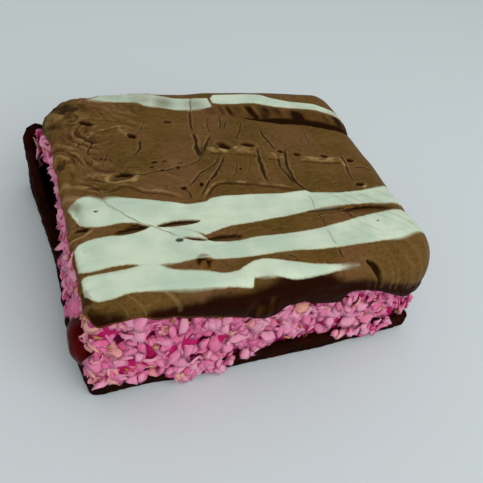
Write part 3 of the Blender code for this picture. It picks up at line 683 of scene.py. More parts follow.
def add_scratches(relief):
    """Fine scratches that run askew down over the front, at its left and its right end, with
    painted highlight where they stand up, and darker cuts behind the right ones, painted shade:
    noise drawn out along lines of constant x + y."""
    x, y, _ = relief.places.T
    scratch = noise(xyz(x + y, 0.12 * y), 0.5, 28)
    left = bell((x - 9) / 5) * step((3.0 - y) / 1.5)
    right = 0.35 * step((x - 46) / 8) * step((9 - y) / 5)
    share = np.maximum(left, right)
    relief.height += 0.06 * share * scratch
    relief.raise_to("pale", 0.60 * share * step((scratch - 0.02) / 0.40))
    cuts = 0.30 * step((x - 44) / 6) * step((y - 4) / 3) * step((20 - y) / 3)
    relief.raise_to("dark", cuts * step((-scratch - 0.20) / 0.25))


def add_crumble(relief):
    """Crumbled chocolate at the back left corner and along the left edge, from three
    octaves of noise: painted highlight where it stands out, painted shade where it sinks."""
    x, y, _ = relief.places.T
    corner = step((12 - x) / 9) * step((y - 44) / 9)
    edge = step((4.0 - x) / 4)
    crumble = rough(relief.places, 1.7, 3)
    relief.height += (0.34 * corner + 0.10 * edge) * crumble
    relief.raise_to("pale", 0.6 * corner * step(crumble * 1.6 - 0.4))
    relief.raise_to("dark", 0.7 * np.maximum(corner, 0.8 * edge) * step(-crumble * 1.6 - 0.1))


def add_lump(relief):
    """A burst bubble's blister by the stripes: a bump with an ochre rim, painted highlight
    on its raised pocks and painted shade in its sunk ones.
    """
    x0, y0, half_width, half_length, up = LUMP
    at, far = relief.spot(x0, y0, half_length, half_width, 90)
    pocks = noise(relief.places[at], 0.7, 8)
    relief.height[at] += up * bell(far / 0.9, 4) * (1 + 0.6 * pocks)
    relief.raise_to("warm", 0.9 * bell((far - 0.85) / 0.25), at)
    relief.raise_to("pale", 0.9 * step((pocks - 0.35) / 0.3) * step((1.2 - far) / 0.3), at)
    relief.raise_to("dark", 0.75 * step((-pocks - 0.05) / 0.3) * step((1.1 - far) / 0.3), at)


def add_brow(relief):
    """Folds down the face of the ridge, with ochre painted highlight on their crests and
    painted shade over the face, most in their troughs, and the deep crease along its foot,
    which is flat topped across: exp(-((y - foot) / half width)^4), painted dark as the shadow
    under the brow."""
    x, y, _ = relief.places.T
    foot, brow = smooth(x, RIDGE_FOOT), smooth(x, RIDGE_BROW)
    share = (y - foot) / (brow - foot)
    face = step((x - 31) / 4) * bell((share - 0.55) / 0.5, 4)
    folds = noise(xyz(x + 0.25 * y, y / 6), 0.9, 21)
    relief.height += 0.16 * face * folds
    relief.raise_to("warm", np.clip(face * (0.05 + 0.5 * folds), 0, 1))
    relief.raise_to("dark", np.clip(face * (0.50 - 0.6 * folds), 0, 1))
    wide = 0.25 + 0.95 * step((x - 40) / 12)
    band = y - foot - 0.35 + 0.15 * noise(relief.places, 1.6, 27)
    crease = step((x - 38) / 6) * bell(band / wide, 4)
    relief.height -= 0.5 * crease
    relief.raise_to("dark", crease)


def top_relief(x, y):
    """All the relief of the top at these places: its height and its marks, shaped as x is."""
    relief = Relief(x, y)
    relief.height += 0.16 * noise(relief.places, 9.0, 1) + 0.07 * noise(relief.places, 3.1, 2)
    for spread in (add_knife_marks, add_wrinkles, add_scratches, add_crumble):
        spread(relief)
    for kind, found in (
        (relief.add_scarp, SCARPS), (relief.add_crack, CRACKS), (relief.add_hollow, HOLLOWS),
        (relief.add_pit, PITS), (relief.add_tear, TEARS), (relief.add_patch, PALE_PATCHES),
    ):
        for one in found:
            kind(*one)
    add_lump(relief)
    add_brow(relief)
    marks = {label: values.reshape(np.shape(x)) for label, values in relief.marks.items()}
    return relief.height.reshape(np.shape(x)), marks


# Front edge and back edge of each white stripe, as (x, y)
STRIPES = {
    "white_stripe_front": (
        [(-0.2, 3), (1.8, 1.4), (4, 1.6), (6.3, 2), (9.2, 1.7), (16.8, 0.7), (22.5, 0.3),
         (25.6, -0.2), (26.2, 1.1), (29.9, 0.8), (34.2, 0), (37.9, 0.1), (41.8, 0.4), (44.9, 0.8), (47, 1)],
        [(-0.4, 5.6), (0.2, 6.2), (1, 6.5), (4, 6.6), (7.8, 6.9), (9.2, 7.1), (11.4, 7), (12.2, 6.5),
         (13.1, 5.7), (14.5, 5.1), (16.8, 4.6), (19.6, 3.8), (22.2, 3), (23.9, 3), (25.1, 3.6),
         (26.3, 4.2), (27.6, 4.6), (29, 4.7), (30.9, 4.3), (34.8, 2.8), (38.4, 1.9), (42.1, 1.5), (47, 1.1)],
    ),
    "white_stripe_middle": (
        [(-0.4, 7.6), (0.4, 7.1), (3.2, 7.3), (5.4, 7.6), (7.6, 7.5), (9, 7), (11.4, 6.5), (14.2, 6.5),
         (17.4, 6.7), (20.6, 6.1), (26.8, 5.6), (34.7, 5.4), (41.6, 4.8), (49.1, 4.7), (57.3, 4.7),
         (61.5, 5.4), (66.5, 6.4)],
        [(-0.4, 12), (0.4, 12.8), (1.3, 13.3), (3.1, 13.9), (5.5, 14.1), (7.4, 13.9), (10.3, 14.4),
         (12, 15.6), (15.6, 14.6), (18, 13.6), (20.2, 12.2), (21.1, 10.9), (22.4, 9.9), (26.4, 9.4),
         (29.7, 9.7), (38, 9.5), (46.4, 10.2), (52.6, 11.2), (59.6, 11.9), (62.6, 12), (66.5, 11.6)],
    ),
    "white_stripe_rear": (
        [(-0.2, 21), (0.5, 18.6), (1.5, 16.9), (4.3, 16.3), (7.6, 16.6), (10.1, 16.3), (12, 15.4),
         (15.6, 14.4), (18, 13.5), (20.2, 12.3), (21.2, 11.6), (22.8, 12.1), (26.4, 13), (32, 13.3),
         (41.7, 14.2), (48.6, 14.8), (56.4, 14.4), (59.1, 14), (63.5, 13.8), (66.8, 14.4)],
        [(-0.2, 21.4), (0.6, 22.3), (1.8, 23.4), (3.4, 23.9), (4.8, 23.3), (5.8, 22.7), (7.1, 23.2),
         (10.5, 22.6), (13.9, 21.7), (17.2, 20.6), (20.7, 19.6), (23.4, 19.7), (25.2, 20.5), (28.4, 20.8),
         (34, 20.4), (39.8, 19.9), (44.6, 20.2), (45.7, 19.3),
         (55, 18.3), (61.1, 18.9), (64.5, 19.7), (66.8, 19.4)],
    ),
    "white_stripe_back_left": (
        [(8.4, 54.6), (11.6, 53.7), (18.1, 53), (19.6, 51.8), (23.1, 51), (27.9, 49.6), (31.7, 49.6),
         (34.6, 50)],
        [(8.4, 55), (12, 57.6), (20, 57.4), (22.6, 56.6), (27.3, 54.6), (31.3, 54.2), (34.6, 53.6)],
    ),
    "white_stripe_back_right": (
        [(35.2, 51.4), (37, 50.8), (44.5, 50.5), (47.8, 49.6), (53.7, 48), (58.8, 47), (63.1, 44.4),
         (66, 42.2)],
        [(35.2, 53.4), (36.6, 54.9), (40.9, 54.8), (47.4, 54.2), (50.8, 52.2), (54.9, 50.6), (60.3, 49.4),
         (63.6, 46.6), (66, 44.6)],
    ),
}
# Where a stripe's edge is smeared: (x, y, reach, how far the white fades), in millimetres
SMEARS = [
    (5.5, 22.8, 3.5, 0.9), (45.5, 1, 3, 0.35), (61, 16.5, 6, 0.5), (21, 57, 5, 0.9),
    (30, 51.5, 3, 0.9), (9, 55.4, 3, 1), (12.4, 6.2, 2.2, 0.5), (15, 11.5, 3, 0.7),
    (64.5, 8.6, 3, 0.6), (28.5, 0.6, 2, 0.5), (47.5, 16, 3.5, 0.6), (15, 0.8, 6, 0.5),
    (60, 5.2, 5, 0.5), (0.2, 9.5, 2, 0.4),
]
# How far the white fades elsewhere, how far a stripe's surface goes on past its outline,
# and how far in from the cover's sides it has to stay
BARE_EDGE = 0.15
STRIPE_MARGIN = 1.3
STRIPE_INSET = 0.12
# Where a stripe is so thin that the brown shows through: (x, y, reach, how much it does)
VEILS = [
    (31, 51.6, 3.6, 0.5), (24, 53, 3.4, 0.6), (14, 55.5, 3, 0.35), (19.5, 54.5, 4, 0.45),
    (0.8, 21.6, 1.7, 0.65),
    (45.5, 1.1, 3, 0.7), (64, 44.5, 2.5, 0.35), (56, 49, 4, 0.2), (10.3, 6.9, 1.3, 0.16),
    (11.5, 12, 2.2, 0.1), (28.5, 1.4, 1.6, 0.25),
]


def stripe_distance(x, y, edges):
    """How far inside one stripe's outline a place is, in millimetres: the least of its
    distances to the two edge curves, squared up by their slope, and to the two ends."""
    front, back = edges

    def behind(edge):
        """How far behind an edge curve: the gap along y, divided by hypot(1, slope)."""
        slope = (smooth(x + EDGE_SPAN, edge) - smooth(x - EDGE_SPAN, edge)) / 2 / EDGE_SPAN
        return (y - smooth(x, edge)) / np.hypot(1, slope)

    across = np.minimum(behind(front), -behind(back))
    return np.minimum(across, np.minimum(x - front[0][0], front[-1][0] - x))


def tear_distance(x, y):
    """How far outside the nearest tear a place is, or a large number far from all."""
    places = xyz(x, y).reshape(-1, 3)
    far = np.full(len(places), FAR)
    for half_width, _, points in TEARS:
        _, at, gap, _, share = along_path(places, points, 2)
        far[at] = np.minimum(far[at], gap - lens(half_width, share))
    return far.reshape(np.shape(x))


def cover_distance(x, y, uneven=1.0):
    """Signed distance of places from the visible white: the outlines of all the stripes
    with their tears cut out, their line made uneven by noise."""
    ragged = 0.03 * noise(xyz(x, y), 0.8, 41) + 0.08 * noise(xyz(x, y), 3.0, 42)
    inside = np.max([stripe_distance(x, y, edges) for edges in STRIPES.values()], axis=0)
    return np.minimum(inside + uneven * ragged, tear_distance(x, y))


def strongest(x, y, least, spots):
    """The greatest of a least value and bell curves: (x, y, reach, value at the middle)."""
    total = np.full(np.shape(x), least)
    for at_x, at_y, reach, most in spots:
        far = np.hypot(x - at_x, y - at_y) / reach
        total = np.maximum(total, most * bell(far))
    return total


def surface(x, y, lift):
    """Points of the top with its relief, and their marks: the smooth height is moved along
    its own normal, whose slope is held under 2, by the relief and a further lift."""
    height, marks = top_relief(x, y)
    e = TOP_SPAN
    z = top_height(x, y)
    slope_x = (top_height(x + e, y) - top_height(x - e, y)) / (2 * e)
    slope_y = (top_height(x, y + e) - top_height(x, y - e)) / (2 * e)
    slope_x, slope_y = (np.clip(slope, -STEEPEST, STEEPEST) for slope in (slope_x, slope_y))
    length = np.sqrt(1 + slope_x**2 + slope_y**2)
    push = (height + lift) / length
    return xyz(x - push * slope_x, y - push * slope_y, z + push), marks


def grid_faces(rows, columns, first=0):
    """Quads of a grid whose normal is up when rows run along y and columns along x."""
    index = first + np.arange(rows * columns).reshape(rows, columns)
    corners = [index[:-1, :-1], index[:-1, 1:], index[1:, 1:], index[1:, :-1]]
    return np.stack(corners, axis=-1).reshape(-1, 4)


def band_faces(upper, lower):
    """Quads between two rings of point numbers, facing out when both are counterclockwise."""
    return np.stack([lower, np.roll(lower, -1), np.roll(upper, -1), upper], axis=-1)


def fan_faces(ring_points, middle, facing_up):
    """Triangles between a counterclockwise ring of point numbers and a middle point."""
    after = np.roll(ring_points, -1)
    pair = (ring_points, after) if facing_up else (after, ring_points)
    return np.stack([*pair, np.full_like(ring_points, middle)], axis=-1)


def stack_mesh(rings):
    """Points and faces of a closed solid from rings of equal length, lowest first, with a
    flat fan at each end."""
    count = len(rings[0])
    points = np.concatenate([*rings, [rings[0].mean(axis=0)], [rings[-1].mean(axis=0)]])
    numbers = np.arange(len(rings) * count).reshape(len(rings), count)
    faces = [band_faces(numbers[i + 1], numbers[i]) for i in range(len(rings) - 1)]
    faces.append(fan_faces(numbers[0], len(points) - 2, False))
    faces.append(fan_faces(numbers[-1], len(points) - 1, True))
    return points, faces


def put(name, data):
    """An object with this data, in the scene."""
    made = bpy.data.objects.new(name, data)
    bpy.context.scene.collection.objects.link(made)
    return made


def make_piece(name, points, faces, material, nodes=(), marks=None):
    """An object from points in slice millimetres. marks are named values, one a point, that
    its material reads. It rides on the slice's one body and stands for the given solids."""
    mesh = bpy.data.meshes.new(name)
    placed = (np.asarray(points, float) - ORIGIN) * MM
    mesh.vertices.add(len(placed))
    mesh.vertices.foreach_set("co", placed.astype(np.float32).ravel())
    sizes = np.concatenate([np.full(len(part), part.shape[1]) for part in faces])
    corners = np.concatenate([part.ravel() for part in faces])
    mesh.loops.add(len(corners))
    mesh.loops.foreach_set("vertex_index", corners.astype(np.int32))
    mesh.polygons.add(len(sizes))
    mesh.polygons.foreach_set("loop_start", (np.cumsum(sizes) - sizes).astype(np.int32))
    mesh.update(calc_edges=True)
    if mesh.validate():
        raise RuntimeError(f"{name} has faces that share or repeat points")
    for label, values in (marks or {}).items():
        values = np.asarray(values, np.float32)
        kind = "FLOAT" if values.ndim == 1 else "FLOAT_VECTOR"
        layer = mesh.attributes.new(label, kind, "POINT")
        layer.data.foreach_set("value" if values.ndim == 1 else "vector", values.ravel())
    mesh.shade_smooth()
    mesh.materials.append(material)
    made = put(name, mesh)
    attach(made, BODY)
    if nodes:
        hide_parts(*nodes)


def linear(hex_colour):
    """An sRGB hex colour as linear RGBA."""
    srgb = np.array([int(hex_colour[i : i + 2], 16) for i in (1, 3, 5)]) / 255
    value = np.where(srgb <= 0.04045, srgb / 12.92, ((srgb + 0.055) / 1.055) ** 2.4)
    return (*value, 1.0)


RISE = {"interpolation_type": "SMOOTHSTEP"}
MIX = {"data_type": "RGBA"}


def add(tree, kind, settings=None, out=0, **links):
    """Adds one node of a kind with its settings, links or sets its inputs, and returns one
    of its outputs. An input is named with _ for a space, or in_ and its number."""
    node = tree.nodes.new(kind)
    for label, value in (settings or {}).items():
        setattr(node, label, value)
    for label, value in links.items():
        socket = node.inputs[int(label[3:]) if label.startswith("in_") else label.replace("_", " ")]
        if isinstance(value, bpy.types.NodeSocket):
            tree.links.new(value, socket)
        else:
            socket.default_value = value
    return node.outputs[out]


def new_material(name, **constants):
    """A material with its shader's constants, which are named with _ for a space."""
    material = bpy.data.materials.new(name)
    material.use_nodes = True
    tree = material.node_tree
    shader = tree.nodes["Principled BSDF"]
    for label, value in constants.items():
        shader.inputs[label.replace("_", " ")].default_value = value
    return material, tree, shader


def grain(tree, size, detail=2.0, coarse=0.5, stretch=(1, 1, 1), turn=0.0):
    """Noise on Object coordinates with features of a size in millimetres, which may be
    stretched along an axis after a turn about z."""
    place = add(tree, "ShaderNodeTexCoord", None, "Object")
    rotation = (0, 0, math.radians(turn))
    place = add(tree, "ShaderNodeMapping", None, Vector=place, Rotation=rotation, Scale=stretch)
    scale = 1 / (size * MM)
    return add(tree, "ShaderNodeTexNoise", None, Vector=place, Scale=scale, Detail=detail, Roughness=coarse)


def layered(tree, colour, *layers):
    """Colours laid over one another. A layer is the value that places it (an attribute's
    name, grain's own arguments or a socket), the two levels between which it comes in, the
    most that it covers, and its colour."""

    def opaque(given):
        """A socket as it is, or a plain colour with 1 as its alpha."""
        return given if isinstance(given, bpy.types.NodeSocket) else (*given, 1)

    colour = opaque(colour)
    for value, low, high, most, over in layers:
        if isinstance(value, tuple):
            value = grain(tree, *value)
        if isinstance(value, str):
            value = add(tree, "ShaderNodeAttribute", {"attribute_name": value}, "Fac")
        share = add(tree, "ShaderNodeMapRange", RISE, Value=value, From_Min=low, From_Max=high, To_Max=most)
        colour = add(tree, "ShaderNodeMix", MIX, 2, in_0=share, in_6=colour, in_7=opaque(over))
    return colour


def press(tree, shader, colour, *layers):
    """Gives the shader its colour and its fine relief, coarsest first. A layer is a socket
    or the noise's own arguments, and then the depth in millimetres."""
    tree.links.new(colour, shader.inputs["Base Color"])
    normal = None
    for *pattern, depth in layers:
        height = pattern[0] if isinstance(pattern[0], bpy.types.NodeSocket) else grain(tree, *pattern)
        under = {} if normal is None else {"Normal": normal}
        normal = add(tree, "ShaderNodeBump", None, Height=height, Distance=depth * MM, **under)
    tree.links.new(normal, shader.inputs["Normal"])


def crack_shade_and_highlight(tree):
    """How much painted shade of a crack's floor and painted highlight of its banks a place
    has, each from 0 to 1: steps in the distance from the crack's middle, times its strength."""
    signed = add(tree, "ShaderNodeAttribute", {"attribute_name": "crack"}, "Fac")
    strength = add(tree, "ShaderNodeAttribute", {"attribute_name": "strength"}, "Fac")
    far = add(tree, "ShaderNodeMath", {"operation": "ABSOLUTE"}, in_0=signed)
    floor = add(tree, "ShaderNodeMapRange", RISE, Value=far, From_Min=1.35, From_Max=0.4)
    banks = add(tree, "ShaderNodeMapRange", RISE, Value=far, From_Min=2.6, From_Max=1.5)
    return tuple(
        add(tree, "ShaderNodeMath", {"operation": "MULTIPLY"}, in_0=share, in_1=strength)
        for share in (floor, banks)
    )


def milk_colour(tree, floor, banks):
    """Milk chocolate: olive brown patches and redder ones, knife streaks, painted shade on its
    sides and in cracks and pits, painted highlight on lips, and ochre, partly painted highlight."""
    look = bpy.context.scene.slice_colours
    return layered(
        tree, look.milk_olive,
        ((9.0, 1.0), 0.38, 0.62, 1.0, look.milk),
        ((14.0, 1.0, 0.5, (1, 1, 1), 30), 0.46, 0.62, 1.0, look.milk_red),
        ((0.6, 4.0, 0.65, (0.3, 1, 1), -4), 0.38, 0.74, 0.6, look.milk_pale),
        ((0.8, 4.0, 0.7), 0.52, 0.30, 0.60, look.milk_shade),
        ((0.35, 3.0, 0.7), 0.60, 0.74, 0.30, look.milk_mottle_and_highlight),
        # Painted shade: the cover's sides darker below the turn
        ("side", 0.0, 1.0, 1.0, look.milk_side_shade),
        ((0.9, 3.0, 0.6, (1, 1, 0.12)), 0.60, 0.80, 0.08, look.milk_ochre_and_highlight),
        # Ochre: thin chocolate at the hem and the left edge, and painted highlight on tear rims, fold crests
        # and the front streaks
        ("warm", 0.0, 1.0, 1.0, look.milk_ochre_and_highlight),
        # Painted highlight: pale on lips, rims, crests and bumps, and on the banks of cracks
        ("pale", 0.0, 1.0, 0.9, look.milk_mottle_and_highlight),
        (banks, 0.0, 1.0, 0.25, look.milk_mottle_and_highlight),
        # Painted shade: darker in cracks, pits, hollows, creases and troughs
        ("dark", 0.0, 0.85, 1.0, look.milk_painted_shade),
        (floor, 0.0, 1.0, 0.90, look.milk_painted_shade),
        ("pit", 1.25, 0.80, 0.95, look.milk_painted_shade),
    )


def milk_chocolate():
    """Milk chocolate, poured and set: satin, with fine knife streaks, so that its soft
    highlights break up along them."""
    material, tree, shader = new_material("milk_chocolate_set", IOR=1.28, Specular_IOR_Level=0.04)
    worn = add(
        tree, "ShaderNodeMapRange", RISE,
        Value=grain(tree, 2.5, 3.0), From_Min=0.35, From_Max=0.7, To_Min=0.36, To_Max=0.55,
    )
    tree.links.new(worn, shader.inputs["Roughness"])
    floor, banks = crack_shade_and_highlight(tree)
    ground = add(tree, "ShaderNodeMath", {"operation": "SUBTRACT"}, in_0=1.0, in_1=floor)
    knife = (0.9, 3.0, 0.6, (0.4, 1, 1), -4, 0.12)
    press(tree, shader, milk_colour(tree, floor, banks), knife, (0.28, 2.0, 0.6, 0.03), (ground, 0.20))
    return material


def white_chocolate():
    """White chocolate, piped into the wet milk chocolate and set: ivory with a green cast,
    faint brown smears and scratches, painted shade in its cracks, pits and tears, and ochre
    where it thins out to an edge, which is also painted highlight on the rims of tears."""
    look = bpy.context.scene.slice_colours
    material, tree, shader = new_material(
        "white_chocolate_set", IOR=1.46, Specular_IOR_Level=0.22, Roughness=0.42
    )
    floor, banks = crack_shade_and_highlight(tree)
    milk = milk_colour(tree, floor, banks)
    white = layered(
        tree, look.white_cool,
        ((6.0, 2.0, 0.5, (1, 1, 1), 20), 0.35, 0.65, 1.0, look.white_warm),
        ((1.4, 3.0, 0.55, (0.14, 1, 1), 3), 0.46, 0.74, 0.22, look.white_shade),
        ((0.35, 2.0, 0.6, (1, 0.06, 1), -18), 0.66, 0.76, 0.22, look.white_shade),
        # Dark marks, partly painted shade: crack floors and pits show brown and dark brown through the white
        ("dark", 0.0, 1.0, 0.75, look.milk),
        (floor, 0.0, 1.0, 0.85, look.milk),
        ("pit", 1.25, 0.80, 0.90, look.milk_painted_shade),
    )
    edge = add(tree, "ShaderNodeAttribute", {"attribute_name": "edge_distance"}, "Fac")
    width = add(tree, "ShaderNodeAttribute", {"attribute_name": "fade_width"}, "Fac")
    uneven = grain(tree, 0.6)
    ragged = add(tree, "ShaderNodeMath", {"operation": "MULTIPLY_ADD"}, in_0=uneven, in_1=0.25, in_2=edge)
    ragged = add(tree, "ShaderNodeMath", {"operation": "SUBTRACT"}, in_0=ragged, in_1=0.125)
    share = add(tree, "ShaderNodeMath", {"operation": "DIVIDE"}, in_0=ragged, in_1=width)
    # Ochre near the white's edges, also painted highlight on the rims of tears
    thin = add(tree, "ShaderNodeMapRange", RISE, Value=ragged, From_Min=0.45, From_Max=0.0, To_Max=0.6)
    white = layered(tree, white, (thin, 0.0, 1.0, 1.0, look.white_edge_and_highlight))
    colour = layered(tree, milk, (share, -1.0, 1.0, 1.0, white), ("veil", 0.0, 1.0, 1.0, milk))
    trowel = (1.1, 3.0, 0.55, (0.25, 1, 1), 3, 0.05)
    press(tree, shader, colour, trowel, (0.35, 2.0, 0.6, (1, 0.06, 1), -18, 0.02))
    return material


def dark_chocolate():
    """Dark chocolate, rolled thin and cut: near black with a red cast, dull where it broke,
    with small tan specks of ground nut."""
    look = bpy.context.scene.slice_colours
    material, tree, shader = new_material(
        "dark_chocolate_cut", IOR=1.25, Specular_IOR_Level=0.03, Roughness=0.60
    )
    colour = layered(
        tree, look.base_dark,
        ((4.0, 2.0), 0.4, 0.62, 1.0, look.base_red),
        ((0.55, 2.0), 0.66, 0.74, 0.4, look.base_speck),
    )
    press(tree, shader, colour, (1.2, 3.0, 0.6, 0.18), (0.3, 2.0, 0.6, 0.05))
    return material


def coconut_paste():
    """The moist mass between the flakes: coconut and fondant dyed deep pink, with painted
    shade in its hollows, near black on the bare left side, and it lets a little light through."""
    look = bpy.context.scene.slice_colours
    material, tree, shader = new_material(
        "coconut_paste_dyed", Roughness=0.6, Specular_IOR_Level=0.04,
        Subsurface_Weight=0.2, Subsurface_Scale=0.7 * MM, Subsurface_Radius=(1.0, 0.3, 0.45),
    )
    colour = layered(
        tree, look.pink_deep,
        ((1.6, 3.0, 0.6), 0.38, 0.62, 1.0, look.pink_strong),
        # Painted shade: darker in hollows, near black on the bare left side
        ("dark", 0.0, 0.5, 1.0, look.pink_hollow_shade),
        ("dark", 0.6, 1.0, 1.0, look.base_dark),
    )
    press(tree, shader, colour, (0.7, 3.0, 0.6, 0.2))
    return material


def coconut_flake(name, pale, middle, strong, peach):
    """Shredded coconut dyed pink: each flake has its own tint, partly painted shade for deeper
    flakes, it is darker towards its rim as painted shade in the gaps, and light passes through
    it, which softens its form."""
    material, tree, shader = new_material(
        name, Roughness=0.6, IOR=1.30, Specular_IOR_Level=0.10,
        Subsurface_Weight=0.35, Subsurface_Scale=0.8 * MM, Subsurface_Radius=(1.0, 0.75, 0.8),
    )
    colour = layered(
        tree, strong,
        # tint is partly painted shade: deeper flakes have a lower tint and show the strong pink
        ("tint", 0.0, 0.4, 1.0, middle),
        ("tint", 0.35, 0.9, 1.0, pale),
        ((0.9, 2.0, 0.6), 0.35, 0.7, 0.4, pale),
        ("warm", 0.0, 1.0, 1.0, peach),
        # Painted shade: a flake darker towards its rim, for the gaps between flakes
        ("tip", 0.60, 1.0, 0.25, strong),
    )
    press(tree, shader, colour, (0.35, 2.0, 0.6, 0.05))
    return material


def candied_cherry():
    """Glace cherry, steeped in syrup and cut: dark red and wet, with paler flesh where the
    cut rim is thin and light passes through."""
    look = bpy.context.scene.slice_colours
    material, tree, shader = new_material(
        "glace_cherry_candied", Roughness=0.3, IOR=1.3, Specular_IOR_Level=0.06,
        Subsurface_Weight=0.2, Subsurface_Scale=1.2 * MM, Subsurface_Radius=(1.0, 0.05, 0.04),
    )
    colour = layered(
        tree, look.cherry,
        ((2.0, 2.0), 0.4, 0.65, 0.4, look.cherry_red),
        ("rim", 0.0, 1.0, 1.0, look.cherry_rim),
    )
    press(tree, shader, colour, (1.1, 2.0, 0.5, 0.15))
    return material


def pale_laminate():
    """A plain pale table top: smooth matt laminate."""
    look = bpy.context.scene.slice_colours
    return new_material("pale_laminate_table", Roughness=0.6, Base_Color=(*look.table, 1))[0]


def build_base():
    """The slab as rings round its outline: a flat foot, a cut edge roughened by noise, a
    lip at the back left corner, and a ledge inside it."""
    x, y = even_ring(BASE_PLAN, BASE_RADIUS, SLAB_SPACING)
    lip = side_value(x, y, BASE_LIP, BASE_PLAN, BASE_RADIUS)
    stands = step((lip - BASE_THICKNESS) / 1.5)
    out_x, out_y = outward(x, y)
    rings = [xyz(*shrink(x, y, 3.0)), xyz(*shrink(x, y, 0.5))]
    for share in np.linspace(0, 1, SLAB_RINGS):
        level = 0.15 + (lip - 0.30) * share
        turn = np.clip(np.minimum(level - 0.15, lip - 0.15 - level) / BASE_EDGE, 0, 1)
        inset = 0.42 * (1 - np.sqrt(1 - (1 - turn) ** 2))
        places = xyz(x, y, level)
        push = 0.30 * rough(places, 2.6, 51) * step(level / 1.2) + 0.10 * noise(places, 0.7, 52) - inset
        push -= 0.35 * stands * step(noise(places, 3.4, 53) * 2)
        rings.append(xyz(x + push * out_x, y + push * out_y, level))
    for inset in LEDGE_INSETS:
        inner = step((inset - LIP_THICKNESS * 0.55) / (LIP_THICKNESS * 0.6))
        level = lip + (BASE_THICKNESS - lip) * inner
        at_x, at_y = shrink(x, y, inset + 0.3)
        level = level + 0.10 * rough(xyz(at_x, at_y), 1.4, 54) * step((inset - 0.2) / 0.6)
        rings.append(xyz(at_x, at_y, level - 0.04 * inset * inner))
    points, faces = stack_mesh(rings)
    points[:, 2] = np.maximum(points[:, 2], 0.0)
    make_piece("dark_chocolate_slab", points, faces, dark_chocolate(), ["chocolate_base"])


def bare_shaded_share(points):
    """1 where the filling's left side has no flakes and is painted near black as deep shade,
    below a level that climbs towards the back. 0 elsewhere."""
    x, y, level = np.moveaxis(points, -1, 0)
    top = smooth(y, BARE_SHADED_LEVEL) + 1.1 * rough(points, 2.6, 91)
    return step((3 - x) / 1.5) * step((top - level) / 1.2 + 0.5)


def pocket_depth(points):
    """How far the filling's side is pushed in for the cherry and the hollow over it."""
    depth = 0.0
    on_left = step((8 - points[..., 0]) / 4)
    for centre, size, deep in OPENINGS:
        far = np.linalg.norm((points - centre)[..., 1:] / (np.array(size)[1:] / 2), axis=-1)
        depth = np.maximum(depth, deep * on_left * step((1.15 - far) / 0.35))
    return depth


def filling_side(spacing):
    """The outline of the filling's cut sides, its outward normals, and the hem's height."""
    x, y = even_ring(FILLING_PLAN, FILLING_RADIUS, spacing)
    out_x, out_y = outward(x, y)
    return x, y, out_x, out_y, side_value(x, y, TOPPING_HEM)


def build_core():
    """The paste behind the flakes: the cut sides moved in and out by noise on cells of
    2.4 mm and finer, then the smooth face under the topping."""
    x, y, out_x, out_y, hem = filling_side(PASTE_SPACING)
    recess = bpy.context.scene.slice_shape.recess / MM
    rings = []
    dark = []
    bottom = BASE_THICKNESS - 0.3
    for share in np.linspace(0, 1, PASTE_RINGS):
        level = bottom + (hem + 0.25 - bottom) * share
        places = xyz(x, y, level)
        crags = rough(places, 2.4, 61)
        pocket = pocket_depth(places)
        bare = bare_shaded_share(places)
        edge = step(share / 0.08) * step((1 - share) / 0.08)
        push = (0.55 * crags - recess - pocket - 0.5 * bare) * edge - 0.3 * (1 - edge)
        rings.append(xyz(x + push * out_x, y + push * out_y, level))
        # Painted shade: the paste is darkened in its hollows and pockets, and its bare left side painted near
        # black
        hollow = 0.55 * np.clip(step(-crags * 1.3 + 0.1) + step(pocket / 1.5), 0, 1)
        dark.append(np.maximum(hollow, bare))
    for inset in PASTE_INSETS:
        at_x, at_y = shrink(x, y, inset)
        rings.append(xyz(at_x, at_y, under_level(at_x, at_y, 0.3)))
        dark.append(np.zeros(len(x)))
    points, faces = stack_mesh(rings)
    marks = {"dark": np.concatenate([*dark, [0, 0]])}
    make_piece("coconut_paste", points, faces, coconut_paste(), ["coconut_filling"], marks)


# Chips have a range of lengths, one of widths, and a thickness. Each scattered kind has a
# count, how far its places start above the base and end above the hem, how far out they
# lie, and how many degrees they lean
FLAKE_KINDS = {
    "coconut_flakes_broad": (950, (0.1, -0.5), (-1.0, 0.25), 38, ((2.6, 5.0), (1.6, 3.2), 0.5)),
    "coconut_shreds": (560, (0.1, 0.0), (-0.7, 0.3), 48, ((1.9, 3.6), (0.8, 1.5), 0.4)),
    "coconut_crumbs": (380, (0.0, 0.0), (-0.8, 0.1), 55, ((0.9, 1.7), (0.6, 1.1), 0.35)),
}
HANGING_CHIPS = ((2.0, 3.2), (1.5, 2.4), 0.6)
TOASTED_CHIPS = ((0.9, 1.9), (0.4, 0.9), 0.3)
CHIP_CELLS = (5, 3)
FLAKE_LIFT = 22
HANGING_TRIED = 300
ON_LEDGE = 46
TOASTED = 110
TABLE_CLEARANCE = 0.25


